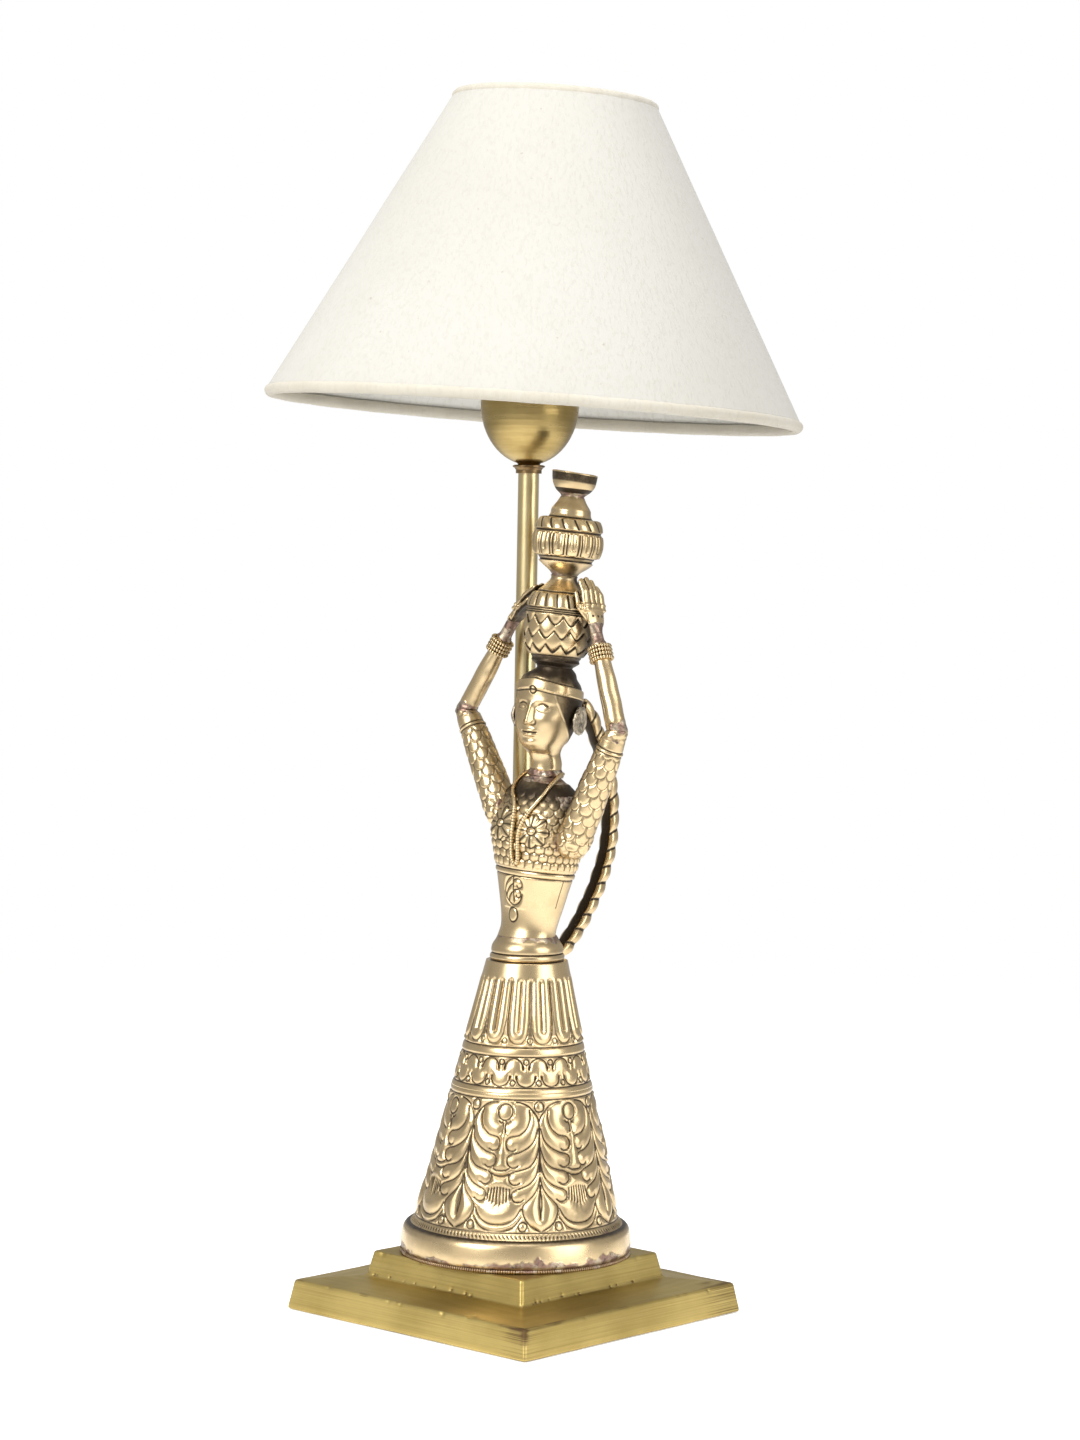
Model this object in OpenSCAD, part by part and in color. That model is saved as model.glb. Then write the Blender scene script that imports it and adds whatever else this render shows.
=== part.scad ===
// Brass table lamp: a figure in a flared skirt carries two pots beside a pole with a tilting cone shade.
// Millimetres, +Z up, origin at the bottom centre of the square base, the figure faces -Y.

/* [Base] */
// Width of the square base at its foot
base_w = 152.2; // [140:0.2:170]
// Height of the whole base above the table
base_h = 28.4; // [26:0.2:34]
// Height at the outer edge of the lower step
step_h = 14.3; // [13.5:0.1:17]
// Width of the upper step at its foot
plinth_w = 99.4; // [94:0.2:112]
// Amount that each side leans in from its foot to its top edge
side_draft = 2.2; // [1:0.1:3]
// Rise of the ledge from the outer edge to the upper step
ledge_rise = 2.6; // [1:0.1:4]
// Thickness of the casting's walls and top
cast_wall = 4.5; // [3.5:0.1:6]
// Thickness of the felt sheet
felt_t = 1.3; // [1:0.1:2.5]
// Amount that the felt stays in from the base's edge
felt_inset = 1.6; // [1:0.1:4]
// Thickness of the steel plate that closes the underside
plate_t = 1.5; // [1:0.1:2.5]
// Thread diameter of the plate screws
plate_screw_d = 4; // [3:0.5:5]

/* [Cord inlet] */
// Bore of the inlet bush
bush_bore_d = 6.6; // [5:0.1:7]
// Wall of the inlet bush
bush_wall = 1.1; // [0.8:0.1:1.4]
// Height of the bush's axis above the table
bush_z = 7.6; // [7.4:0.1:7.7]
// Rim of the bush beyond its barrel
bush_rim = 1.2; // [0.8:0.1:1.6]

/* [Pole] */
// Outer diameter of the pole
pole_d = 10; // [9:0.5:11]
// Wall of the pole
pole_wall = 1; // [0.8:0.1:1.4]
// Place of the pole across the lamp
pole_x = -22.5; // [-24:0.1:-20]
// Place of the pole behind the middle
pole_y = 24.2; // [22:0.1:27]
// Width across the corners of the pole's nuts
pole_nut_d = 16.2; // [15:0.1:18]
// Thickness of the pole's nuts
pole_nut_t = 4; // [3:0.5:5]
// Thickness of the washers
washer_t = 1.5; // [1:0.1:2]
// Height of the collar's underside
collar_z = 397.2; // [390:0.1:400]
// Diameter of the collar under the cup
collar_d = 15.4; // [14:0.2:18]
// Height of the collar
collar_h = 4; // [3:0.1:8]

/* [Lampholder] */
// Outer diameter of the cup
cup_d = 47; // [46:0.5:50]
// Height of the cup's round bottom
cup_round_h = 28.8; // [26:0.1:32]
// Height of the straight wall over the round bottom
cup_straight_h = 17; // [14:1:20]
// Wall of the cup
cup_wall = 1.2; // [0.8:0.1:1.6]
// Outer diameter of the lampholder's threaded neck
neck_d = 39.5; // [39:0.1:40.5]
// Height of the threaded neck above its flange
neck_h = 8.2; // [7.8:0.1:10]
// Outer diameter of the bulb's screw cap
bulb_cap_d = 26.3; // [26:0.1:26.6]
// Diameter of the bulb's globe
globe_d = 45; // [40:1:47]

/* [Shade] */
// Diameter of the shade at its lower rim
shade_bottom_d = 257.6; // [240:0.2:262]
// Diameter of the shade at its upper rim
shade_top_d = 96.6; // [88:0.2:110]
// Height of the shade
shade_h = 151.5; // [140:0.5:170]
// Height of the shade's lower rim above the collar's underside
shade_drop = 27.8; // [26:0.1:40]
// Amount that the shade's middle stands to the side of its pivot
shade_shift = 3.1; // [0:0.1:4]
// Tilt of the shade as it stands
shade_tilt = 3; // [0:0.5:6]
// Diameter of the wire in the rims and the carrier
wire_d = 3; // [2.4:0.1:3.4]
// Thickness of the laminated cover
cover_t = 0.6; // [0.4:0.1:0.9]
// Thickness of the lining
lining_t = 0.4; // [0.3:0.1:0.5]
// Thickness of the cloth rolled over the rims
hem_t = 1.3; // [1.1:0.1:1.8]
// Width of the inner ring of the tilting joint
tilt_ring_w = 5.2; // [4.8:0.1:6]
// Diameter of the two tilting pins
pin_d = 2.4; // [2:0.1:2.8]

/* [Skirt] */
// Place of the figure across the lamp
figure_x = 1.2; // [0:0.1:3]
// Place of the figure front to back
figure_y = 1.2; // [0:0.1:3]
// Radius of the foot ring
foot_r = 54.5; // [52:0.5:57]
// Height of the foot ring
foot_h = 14.2; // [12:0.2:16]
// Radius of the skirt over its foot
skirt_r = 47.8; // [46:0.1:49]
// Radius of the skirt at the waist
waist_r = 18.9; // [17.5:0.1:20]
// Height of the skirt over its foot ring
skirt_h = 124.6; // [120:0.2:132]
// Thickness of the skirt's sheet
sheet_t = 1.5; // [1.1:0.1:2]
// Height of the waist collar
waist_h = 9.8; // [8:0.2:12]
// Diameter of the stud that holds the figure down
stud_d = 6; // [5:0.5:8]

/* [Figure] */
// Lean of the figure above the waist
lean = 5; // [3:0.5:6]
// Turn of the head to the figure's left
head_turn = 10; // [0:1:15]
// Height from the waist to the joint of the neck
neck_z = 81; // [80:0.5:83]
// Height from the waist to the top of the head
head_z = 132; // [130:0.5:134]
// Height of the lower pot with its neck
lower_pot_h = 43; // [42:0.5:44]
// Height of the upper pot with its neck
upper_pot_h = 38; // [37:0.5:40]
// Height of the open bowl
bowl_h = 10.6; // [9:0.1:11.5]
// Greatest radius of the lower pot
pot_r = 16; // [15:0.1:16.5]
// Greatest radius of the upper pot
upper_pot_r = 16.7; // [15.5:0.1:17.5]
// Wall of the pots
pot_wall = 1.3; // [1:0.1:1.8]
// Radius of an upper arm at the shoulder
arm_r = 8.2; // [6.5:0.1:8.6]
// Radius of a forearm at the elbow
forearm_r = 4.7; // [4.2:0.1:5]
// Radius of the wrists
wrist_r = 2.9; // [2.6:0.1:3.2]
// Width of a hand across the knuckles
hand_w = 14.5; // [13:0.5:16]
// Radius of the wire in the bangles
bangle_wire_r = 0.9; // [0.7:0.1:1]
// Number of rings in each set of bangles
bangle_count = 4; // [3:1:5]
// Diameter of the round earrings
earring_d = 13.6; // [12:0.2:15]
// Radius of the necklace's wire
necklace_r = 0.8; // [0.6:0.1:1]
// Width of the braid
braid_w = 9; // [8:0.2:10]
// Depth of the braid from its flat face to its crown
braid_t = 7; // [5:0.2:8]

/* [Hidden] */

$fn = 64;
brass = "#b39a55";
old_brass = "#a68a4c";
dark_brass = "#5d4a2c";
steel = "#9a9a98";
linen = "#e9e4d4";

// Clearances
slip = 0.05;        // a fixed piece on its shaft
running = 0.08;     // a ring that turns on its neck
pin_running = 0.06; // a pin in its bearing
face_gap = 0.1;     // flat faces that slide on each other
part_gap = 0.2;     // soldered or trim pieces beside each other

// Base
base_half = base_w / 2;
plinth_half = plinth_w / 2;
edge_r = 0.6;
cove_r = 1.2;
top_z = base_h - cast_wall;
cavity_half = base_half - side_draft - cast_wall;
cavity_top = step_h - cast_wall + 0.6;
plinth_cavity_half = plinth_half - side_draft - cast_wall;
boss_at = cavity_half - 8;
boss_r = plate_screw_d / 2 + 3;
plate_half = cavity_half - 0.3;
screw_head_r = plate_screw_d * 0.95;

// Cord inlet
bush_r = bush_bore_d / 2 + bush_wall;
bush_rim_r = bush_r + bush_rim;
bush_seat_y = base_half - side_draft - 0.3;
bush_tail = 3;

// Terminal block
block_size = [24, 12, 10];
block_at = [6, 34, felt_t + plate_t];

// Pole, cup and lampholder heights
pole_r = pole_d / 2;
pole_foot_z = top_z - washer_t - pole_nut_t - 3;
cup_z = collar_z + collar_h;
cup_mid_z = cup_z + cup_round_h;
cup_rim_z = cup_mid_z + cup_straight_h;
cup_r = cup_d / 2;
cup_floor = 2.4;
cup_nut_z = cup_z + cup_floor;
cup_nut_t = 3.5;
holder_z = cup_nut_z + cup_nut_t + 0.2;
holder_joint_z = cup_mid_z - 10;
pole_top_z = holder_z + 6.5;
neck_r = neck_d / 2;
flange_z = cup_rim_z - 1.7;
flange_t = 2.5;
flange_r = cup_r - cup_wall - 0.4;
neck_z0 = flange_z + flange_t;
shell_top_z = neck_z0 + neck_h;
shell_in_r = neck_r - 2.7;
lip_t = 2.4;
bulb_cap_h = 24.2;
bulb_tip_h = 4;
globe_neck = 3;
globe_t = 0.8;
globe_r = globe_d / 2;
core_z = holder_joint_z;
core_t = 6;
contact_t = 2.8;
bulb_z = core_z + core_t + contact_t;
cap_r = bulb_cap_d / 2;
liner_r = cap_r + 0.3;
liner_wall = 0.6;
lead_r = 2.2;

// Tilting joint of the shade
tilt_ring_z = neck_z0 + face_gap;
tilt_ring_t = 2.5;
ear_h = pin_d + 2.6;
ear_l = 3;
ear_w = 6;
ear_r = neck_r + 3.9;
pin_z = tilt_ring_z + ear_h / 2;
tilt_ring_r = neck_r + tilt_ring_w;
lug_z = tilt_ring_z + tilt_ring_t + 0.03;             // the bearing lugs stand on the ring
carrier_in_r = max(ear_r + ear_l, tilt_ring_r) + 0.7;
carrier_t = 2.6;
carrier_h = 6;
retaining_z = tilt_ring_z + tilt_ring_t + face_gap;
retaining_h = 5;
retaining_r = ear_r - 0.5;
lean_az = 42.3;                                      // side towards which the figure and shade lean
lean_axis = [-sin(lean_az), cos(lean_az), 0];

// Shade section, as radius and height: rim wires lie inside rolled hems
wire_r = wire_d / 2;
hem_r = wire_r + hem_t;
shade_z = collar_z + shade_drop;
rim_low = [shade_bottom_d / 2 - hem_r, shade_z + hem_r];
rim_high = [shade_top_d / 2 - hem_r * 0.6, shade_z + shade_h - hem_r];
shade_run = (rim_high - rim_low) / norm(rim_high - rim_low);
shade_out = [shade_run[1], -shade_run[0]];
cover_off = wire_r + 0.1;
lining_off = cover_off - lining_t - 0.03;

// Skirt
foot_in_r = foot_r - 5.3;
foot_top_z = base_h + foot_h;
skirt_top_z = foot_top_z + skirt_h;
cone_z = foot_top_z + 5.5;
bead_r = 1;
foot_tuck = 2.6;                                     // the foot ring draws in by this much at the base
bridge_w = 14;
bridge_t = 3;
bridge_z = base_h + 3;
stud_r = stud_d / 2;
waist_z = skirt_top_z + 7;
seam_dz = -2;                                        // the torso starts this far from the waist

// Figure, in its own frame: waist at the origin, leaning with it
torso_back = 2;
pot_shift = [0.2, 0.2, 0];
shoulder_l = [25, -2, 51.9];
shoulder_r = [-20.8, -2, 61];
elbow_l = [44.4, -1.5, 106.7];
elbow_r = [-51.8, -1.5, 106.3];
wrist_l = [24.1, 0, neck_z + 68.8];
wrist_rt = [-31.1, 0, neck_z + 66.4];
hand_tip_l = wrist_l + [-5.2, 0, 26.1];
hand_tip_r = wrist_rt + [18.1, -1, 24.8];
bangle_pitch = 2 * bangle_wire_r + 0.1;
bangle_back = 9.8;
bangle_seat_r = 3.8;
ear_at = [16.9, 6, neck_z + 26];
ear_post = [14.6, 2.2];                              // where its post meets the head, and the post's radius
earring_t = 1.6;

// A point between b and c on a smooth curve through a, b, c and d
function between(a, b, c, d, t) =
    0.5 * (2 * b + (c - a) * t + (2 * a - 5 * b + 4 * c - d) * t * t + (3 * b - a - 3 * c + d) * t * t * t);

// Rows of numbers with extra smooth rows in between
function smooth(rows, steps) = [
    for (i = [0 : len(rows) - 2], k = [0 : steps - 1])
        between(rows[max(i - 1, 0)], rows[i], rows[i + 1], rows[min(i + 2, len(rows) - 1)], k / steps),
    rows[len(rows) - 1]
];

function unit(v) = v / norm(v);

function oval(centre, u, v, sides) =
    [for (k = [0 : sides - 1]) centre + u * cos(360 * k / sides) + v * sin(360 * k / sides)];

// A closed skin over a stack of rings, each listed anticlockwise seen from the far end
module skin(rings) {
    n = len(rings[0]);
    m = len(rings);
    last = (m - 1) * n;
    polyhedron(
        points = [for (r = rings) each r],
        faces = [
            for (j = [0 : m - 2], k = [0 : n - 1])
                let (a = j * n + k, b = j * n + (k + 1) % n)
                each [[a, a + n, b + n], [a, b + n, b]],
            for (k = [1 : n - 2]) [0, k, k + 1],
            for (k = [1 : n - 2]) [last, last + k + 1, last + k]
        ]
    );
}

// A round tube along a path; the rings turn about the given direction
module tube(path, r, sides, up) {
    last = len(path) - 1;
    skin([for (i = [0 : last])
        let (w = unit(path[min(i + 1, last)] - path[max(i - 1, 0)]), u = unit(cross(w, up)))
        oval(path[i], u * r, cross(w, u) * r, sides)]);
}

// A straight limb from p to q through rows of [distance from p, radius]; its ends lie square to n0 and n1
module limb(p, q, rows, n0, n1, sides = 18) {
    w = unit(q - p);
    last = len(rows) - 1;
    skin([for (i = [0 : last])
        let (
            n = i == 0 ? n0 : (i == last ? n1 : w),
            v = unit([0, 1, 0] - n * n[1]),
            u = cross(v, n) / (n * w)
        )
        oval(p + w * rows[i][0], u * rows[i][1], v * rows[i][1], sides)]);
}

// Turned shell: the outer outline, and the same outline moved in by the wall
module shell(outline, wall) {
    inner = [for (i = [len(outline) - 1 : -1 : 0]) [outline[i][0] - wall, outline[i][1]]];
    rotate_extrude() polygon(concat(outline, inner));
}

module ring(r_in, r_out, z, h) {
    rotate_extrude() translate([r_in, z]) square([r_out - r_in, h]);
}

module on_pole() translate([pole_x, pole_y, 0]) children();

module on_skirt() translate([figure_x, figure_y, 0]) children();

module on_figure() translate([figure_x, figure_y, waist_z]) rotate(a = lean, v = lean_axis) children();

// Local Y is the axis of the tilting pins
module on_pins() on_pole() rotate([0, 0, lean_az]) children();

module on_shade() translate([pole_x, pole_y, pin_z]) rotate(a = shade_tilt, v = lean_axis)
    rotate([0, 0, lean_az]) translate([0, 0, -pin_z]) children();

module each_corner(at) for (x = [-at, at], y = [-at, at]) translate([x, y, 0]) children();

module nut(across, bore_r, z, h) {
    difference() {
        translate([0, 0, z]) cylinder(d = across, h = h, $fn = 6);
        translate([0, 0, z - 1]) cylinder(r = bore_r, h = h + 2);
    }
}

// Outline of one side of the base: sloped steps with a small cove between them
function base_side() = [
    [base_half, felt_t],
    [base_half - side_draft + edge_r * 0.2, step_h - edge_r],
    [base_half - side_draft - edge_r, step_h],
    [plinth_half + cove_r, step_h + ledge_rise - 0.3],
    for (a = [0 : 30 : 90])
        [plinth_half + cove_r * (1 - sin(a)), step_h + ledge_rise + cove_r * (1 - cos(a))],
    [plinth_half - side_draft + 0.1, base_h - edge_r],
    [plinth_half - side_draft - edge_r, base_h]
];

module base_bar() {
    side = base_side();
    rotate([90, 0, 0]) linear_extrude(height = base_w + 20, center = true)
        polygon(concat(side, [for (i = [len(side) - 1 : -1 : 0]) [-side[i][0], side[i][1]]]));
}

module base_casting() color(brass) difference() {
    union() {
        difference() {
            intersection() {
                base_bar();
                rotate([0, 0, 90]) base_bar();
            }
            translate([-cavity_half, -cavity_half, 0]) cube([2 * cavity_half, 2 * cavity_half, cavity_top]);
            translate([-plinth_cavity_half, -plinth_cavity_half, 0])
                cube([2 * plinth_cavity_half, 2 * plinth_cavity_half, top_z]);
        }
        each_corner(boss_at) translate([0, 0, felt_t + plate_t])
            cylinder(r = boss_r, h = cavity_top - felt_t - plate_t + 0.5);
    }
    each_corner(boss_at) cylinder(d = plate_screw_d + 2 * slip, h = cavity_top);
    on_pole() translate([0, 0, top_z - 1]) cylinder(r = pole_r + slip, h = cast_wall + 2);
    on_skirt() translate([0, 0, top_z - 1]) cylinder(r = stud_r + slip, h = cast_wall + 2);
    translate([0, cavity_half - bush_tail - 1, bush_z]) rotate([-90, 0, 0])
        cylinder(r = bush_r + slip, h = 20);
    translate([0, bush_seat_y, bush_z]) rotate([-90, 0, 0])
        cylinder(r = bush_rim_r + part_gap, h = 20);
}

module base_felt() color("#3c3a34") translate([0, 0, felt_t / 2])
    cube([base_w - 2 * felt_inset, base_w - 2 * felt_inset, felt_t], center = true);

module bottom_plate() color(steel) difference() {
    translate([-plate_half, -plate_half, felt_t]) cube([2 * plate_half, 2 * plate_half, plate_t]);
    each_corner(boss_at) translate([0, 0, felt_t - 0.01])
        cylinder(r1 = screw_head_r + slip, r2 = plate_screw_d / 2 + slip, h = plate_t + 0.02);
}

module plate_screws() color(steel) each_corner(boss_at) translate([0, 0, felt_t]) {
    cylinder(r1 = screw_head_r, r2 = plate_screw_d / 2, h = plate_t);
    cylinder(d = plate_screw_d, h = plate_t + 6);
}

module cord_bush() color("#1f1f1f") translate([0, bush_seat_y, bush_z]) rotate([-90, 0, 0]) difference() {
    union() {
        cylinder(r = bush_rim_r, h = base_half - bush_seat_y);
        translate([0, 0, cavity_half - bush_seat_y - bush_tail])
            cylinder(r = bush_r, h = bush_seat_y - cavity_half + bush_tail);
    }
    translate([0, 0, -20]) cylinder(d = bush_bore_d, h = 40);
}

module terminal_block() color("#e8e6e0") difference() {
    corner = block_at - [block_size[0] / 2, block_size[1] / 2, 0];
    translate(corner) cube(block_size);
    for (i = [0 : 2])
        translate(corner + [block_size[0] * (i + 0.5) / 3, block_size[1] / 2, block_size[2] - 5])
            cylinder(d = 3.6, h = 6);
}

module inner_lead() {
    start = [block_at[0] - block_size[0] / 2, block_at[1], block_at[2] + 5];
    turn = [
        start,
        start + [-4, -0.4, -0.4],
        start + [-9, -2, -0.6],
        [pole_x + 1.2, pole_y + 2.4, block_at[2] + 5.4],
        [pole_x, pole_y + 0.2, pole_foot_z - 2],
        [pole_x, pole_y, pole_foot_z + 3]
    ];
    color("#d8d4c8") tube(concat(smooth(turn, 4), [[pole_x, pole_y, core_z]]), lead_r, 10, [0, 1, 0.1]);
}

module pole_tube() color(brass) on_pole()
    ring(pole_r - pole_wall, pole_r, pole_foot_z, pole_top_z - pole_foot_z);

module pole_nuts() color(steel) on_pole() for (z = [top_z - washer_t - pole_nut_t, base_h + washer_t])
    nut(pole_nut_d, pole_r + slip, z, pole_nut_t);

module pole_washers() color(steel) on_pole() for (z = [top_z - washer_t, base_h])
    ring(pole_r + slip, pole_nut_d / 2 + 1.5, z, washer_t);

module cup_collar() color(brass) on_pole() rotate_extrude() polygon([
    [pole_r + slip, collar_z],
    [pole_r + 1.2, collar_z],
    [pole_r + 1.2, collar_z + collar_h * 0.4],
    [collar_d / 2 - 0.8, collar_z + collar_h * 0.66],
    [collar_d / 2, collar_z + collar_h * 0.76],
    [collar_d / 2, collar_z + collar_h * 0.92],
    [collar_d / 2 - 1, collar_z + collar_h],
    [pole_r + slip, collar_z + collar_h]
]);

// Quarter of an ellipse from the bottom of the cup to its widest ring
function cup_curve(r, h, from) =
    [for (a = [from : (90 - from) / 14 : 90.01]) [r * sin(a), cup_mid_z - h * cos(a)]];

module holder_cup() color(brass) on_pole() {
    floor_a = acos((cup_mid_z - cup_nut_z) / (cup_round_h - cup_wall));
    rotate_extrude() polygon(concat(
        [[pole_r + slip, cup_z]],
        cup_curve(cup_r, cup_round_h, asin((collar_d / 2 - 2) / cup_r)),
        [[cup_r, cup_rim_z - 0.3], [cup_r - 0.3, cup_rim_z], [cup_r - cup_wall, cup_rim_z]],
        [for (p = [14 : -1 : 0]) let (a = floor_a + (90 - floor_a) * p / 14)
            [(cup_r - cup_wall) * sin(a), cup_mid_z - (cup_round_h - cup_wall) * cos(a)]],
        [[pole_r + slip, cup_nut_z]]
    ));
}

module cup_nut() color(steel) on_pole() nut(pole_r * 2.7, pole_r + slip, cup_nut_z, cup_nut_t);

module holder_base() color("#2a2522") on_pole() rotate_extrude() polygon([
    [pole_r + slip, holder_z],
    [neck_r - 8.8, holder_z],
    [neck_r - 4.3, holder_z + 4.5],
    [neck_r - 2.2, holder_z + 8],
    [neck_r - 1.2, holder_joint_z],
    [shell_in_r - 1.6, holder_joint_z],
    [shell_in_r - 3, holder_z + 7.5],
    [pole_r + slip, holder_z + 7.5]
]);

module holder_shell() color("#2a2522") on_pole() rotate_extrude() polygon([
    [shell_in_r, holder_joint_z],
    [neck_r - 1.2, holder_joint_z],
    [neck_r - 1.2, flange_z - 1.5],
    [flange_r, flange_z],
    [flange_r, neck_z0],
    [neck_r, neck_z0],
    [neck_r, shell_top_z - 0.6],
    [neck_r - 0.6, shell_top_z],
    [liner_r + liner_wall, shell_top_z],
    [liner_r + liner_wall, shell_top_z - lip_t],
    [shell_in_r, shell_top_z - lip_t]
]);

module holder_core() color("#f0eee6") on_pole() difference() {
    translate([0, 0, core_z]) cylinder(r = shell_in_r - slip, h = core_t);
    for (x = [-8, 8]) translate([x, 0, core_z + core_t - 3]) cylinder(d = 3.5, h = 4);
}

module screw_liner() color(brass) on_pole()
    ring(liner_r, liner_r + liner_wall - 0.02, core_z + core_t, shell_top_z - core_z - core_t);

module centre_contact() color(brass) on_pole() translate([0, 0, core_z + core_t])
    cylinder(r = 3, h = contact_t);

// Radius of the skirt's plain cone at a height
function cone_r(z) = skirt_r + (waist_r - skirt_r) * (z - cone_z) / (skirt_top_z - cone_z);

// A raised plain ring round the cone, between two heights
function cone_band(z0, z1, h) = [
    [cone_r(z0), z0],
    [cone_r(z0 + 0.5) + h, z0 + 0.5],
    [cone_r((z0 + z1) / 2) + h * 1.3, (z0 + z1) / 2],
    [cone_r(z1 - 0.5) + h, z1 - 0.5],
    [cone_r(z1), z1]
];

module skirt() color(old_brass) difference() {
    on_skirt() shell(concat(
        [
            [skirt_r + 3.2, foot_top_z],
            [skirt_r + 2.4, foot_top_z + 1.4],
            [skirt_r + 0.6, foot_top_z + 3.6],
            [skirt_r, cone_z]
        ],
        cone_band(skirt_top_z - 61.2, skirt_top_z - 56.2, 0.4),
        cone_band(skirt_top_z - 42.2, skirt_top_z - 37.9, 0.4),
        [[waist_r, skirt_top_z]]
    ), sheet_t);
    on_pole() translate([0, 0, foot_top_z]) cylinder(r = pole_r + 0.8, h = skirt_h);
}

module foot_section() polygon([
    [foot_in_r, base_h],
    [foot_r - foot_tuck, base_h],
    [foot_r - 0.8, base_h + foot_h * 0.14],
    [foot_r, base_h + foot_h * 0.28],
    [foot_r - 0.9, base_h + foot_h * 0.58],
    [foot_r - 2.7, base_h + foot_h * 0.96],
    [foot_r - 3.3, foot_top_z],
    [foot_in_r, foot_top_z]
]);

module bead_section(r) translate([foot_r - foot_tuck + bead_r * 1.5, base_h + bead_r]) circle(r = r);

module skirt_foot() color(old_brass) on_skirt() rotate_extrude() difference() {
    foot_section();
    bead_section(bead_r + part_gap);
}

module foot_bead_wire() color(dark_brass) on_skirt() rotate_extrude() bead_section(bead_r);

module waist_collar() color(old_brass) difference() {
    on_skirt() translate([0, 0, skirt_top_z]) rotate_extrude() polygon([
        [0, 0],
        [waist_r, 0],
        [waist_r + 0.3, 0.9],
        [waist_r - 0.4, 2.1],
        [waist_r - 1.9, 2.9],
        [waist_r - 1.7, 3.7],
        [waist_r - 1.6, waist_h - 4.6],
        [waist_r - 2.2, waist_h - 3.6],
        [waist_r - 2.6, waist_h - 3],
        [waist_r - 3.2, waist_h],
        [0, waist_h]
    ]);
    on_figure() translate([-40, -40, seam_dz]) cube([80, 80, 40]);
}

module skirt_bridge() color(steel) on_skirt() rotate([0, 0, lean_az]) difference() {
    intersection() {
        translate([0, 0, bridge_z]) cylinder(r = foot_in_r, h = bridge_t);
        translate([-foot_r, -bridge_w / 2, bridge_z]) cube([2 * foot_r, bridge_w, bridge_t]);
    }
    cylinder(r = stud_r + slip, h = bridge_z + bridge_t + 1);
}

module skirt_stud() color(steel) on_skirt() {
    z0 = top_z - washer_t - stud_d * 0.8 - 2;
    translate([0, 0, z0]) cylinder(r = stud_r, h = bridge_z + bridge_t - z0);
    translate([0, 0, bridge_z + bridge_t]) cylinder(r = stud_r * 1.9, h = stud_d * 0.7, $fn = 6);
}

module skirt_nut() color(steel) on_skirt() {
    ring(stud_r + slip, stud_r * 2, top_z - washer_t, washer_t);
    nut(stud_r * 3.7, stud_r + slip, top_z - washer_t - stud_d * 0.8, stud_d * 0.8);
}

// Rows of the torso from the waist to the neck: height, radius across, radius front to back
function torso_rows() = [
    [seam_dz, 15.3, 13.9],
    [1, 14.9, 13.3],
    [4.5, 14.6, 12.5],
    [9, 14.6, 12],
    [16, 15.9, 12.7],
    [26, 18.4, 14.2],
    [36, 21, 15.9],
    [46, 22.8, 16.9],
    [56, 23.2, 17.6],
    [65, 22.4, 15.6],
    [72, 20, 12.8],
    [77, 14.5, 9.8],
    [neck_z - 1.4, 8.4, 8],
    [neck_z, 7.6, 7.7]
];

function swell(a, at, w) = exp(-pow((a - at) / w, 2));

function torso_ring(row, sides) = [
    for (k = [0 : sides - 1])
        let (
            a = -90 - 180 + 360 * (k + 0.5) / sides,
            bust = 0.13 * swell(row[0], 52, 9) * (swell(a, -125, 19) + swell(a, -55, 19)),
            back = torso_back * min(1, max(0, row[0] / 12))
        )
        [row[1] * (1 + bust) * cos(a), back + row[2] * (1 + bust) * sin(a), row[0]]
];

module torso_form() skin([for (r = smooth(torso_rows(), 2)) torso_ring(r, 32)]);

module torso() color(old_brass) on_figure() difference() {
    torso_form();
    translate([0, torso_back, seam_dz - 1]) cylinder(r1 = 9.5, r2 = 9, h = 58);
}

// Rows of the head from the neck to the cap's top: height, middle y, radius across, radius front to back
function head_rows() = [
    [neck_z, 0, 7.6, 7.7],
    [neck_z + 5, 0, 7.2, 7.4],
    [neck_z + 9.5, 0.2, 7.6, 7.8],
    [neck_z + 12.5, -0.2, 9.2, 9.6],
    [neck_z + 17, 0, 11.7, 11.8],
    [neck_z + 23, 0.8, 13.8, 13.9],
    [neck_z + 30, 1.9, 14.9, 15],
    [neck_z + 37, 2.4, 15.2, 15.4],
    [neck_z + 42.5, 2.2, 14.6, 14.8],
    [head_z - 4, 1, 11.8, 12],
    [head_z - 1.2, -1, 8.9, 9.4],
    [head_z, -2, 8.2, 8.4]
];

// Plain features by proportion: eyes at half the head's height, nose and mouth below them
chin_z = neck_z + 12.5;
eye_z = (chin_z + head_z) / 2;
nose_z = chin_z + (eye_z + 3 - chin_z) * 0.52;
mouth_z = chin_z + (nose_z - chin_z) * 0.62;

function face_relief(a, z) =
    2.3 * swell(a, -90, 7) * swell(z, nose_z + 1.2, 2.6)
    + 1.5 * swell(a, -90, 6) * swell(z, nose_z + 5, 3.6)
    - 1.3 * (swell(a, -111, 11) + swell(a, -69, 11)) * swell(z, eye_z, 2.2)
    + 0.6 * (swell(a, -111, 13) + swell(a, -69, 13)) * swell(z, eye_z + 3.6, 1.4)
    + 0.9 * swell(a, -90, 13) * swell(z, mouth_z, 1.4)
    + 0.9 * swell(a, -90, 16) * swell(z, chin_z + 1.5, 2.2);

function head_ring(row, sides) = [
    for (k = [0 : sides - 1])
        let (
            t = 2 * (k + 0.5) / sides - 1,
            a = -90 + 180 * (0.5 * t + 0.5 * pow(t, 3)),
            f = face_relief(a, row[0])
        )
        [(row[2] + f) * cos(a), row[1] + (row[3] + f) * sin(a), row[0]]
];

module on_head() on_figure() translate([0, torso_back, 0]) rotate([0, 0, head_turn]) children();

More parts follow.
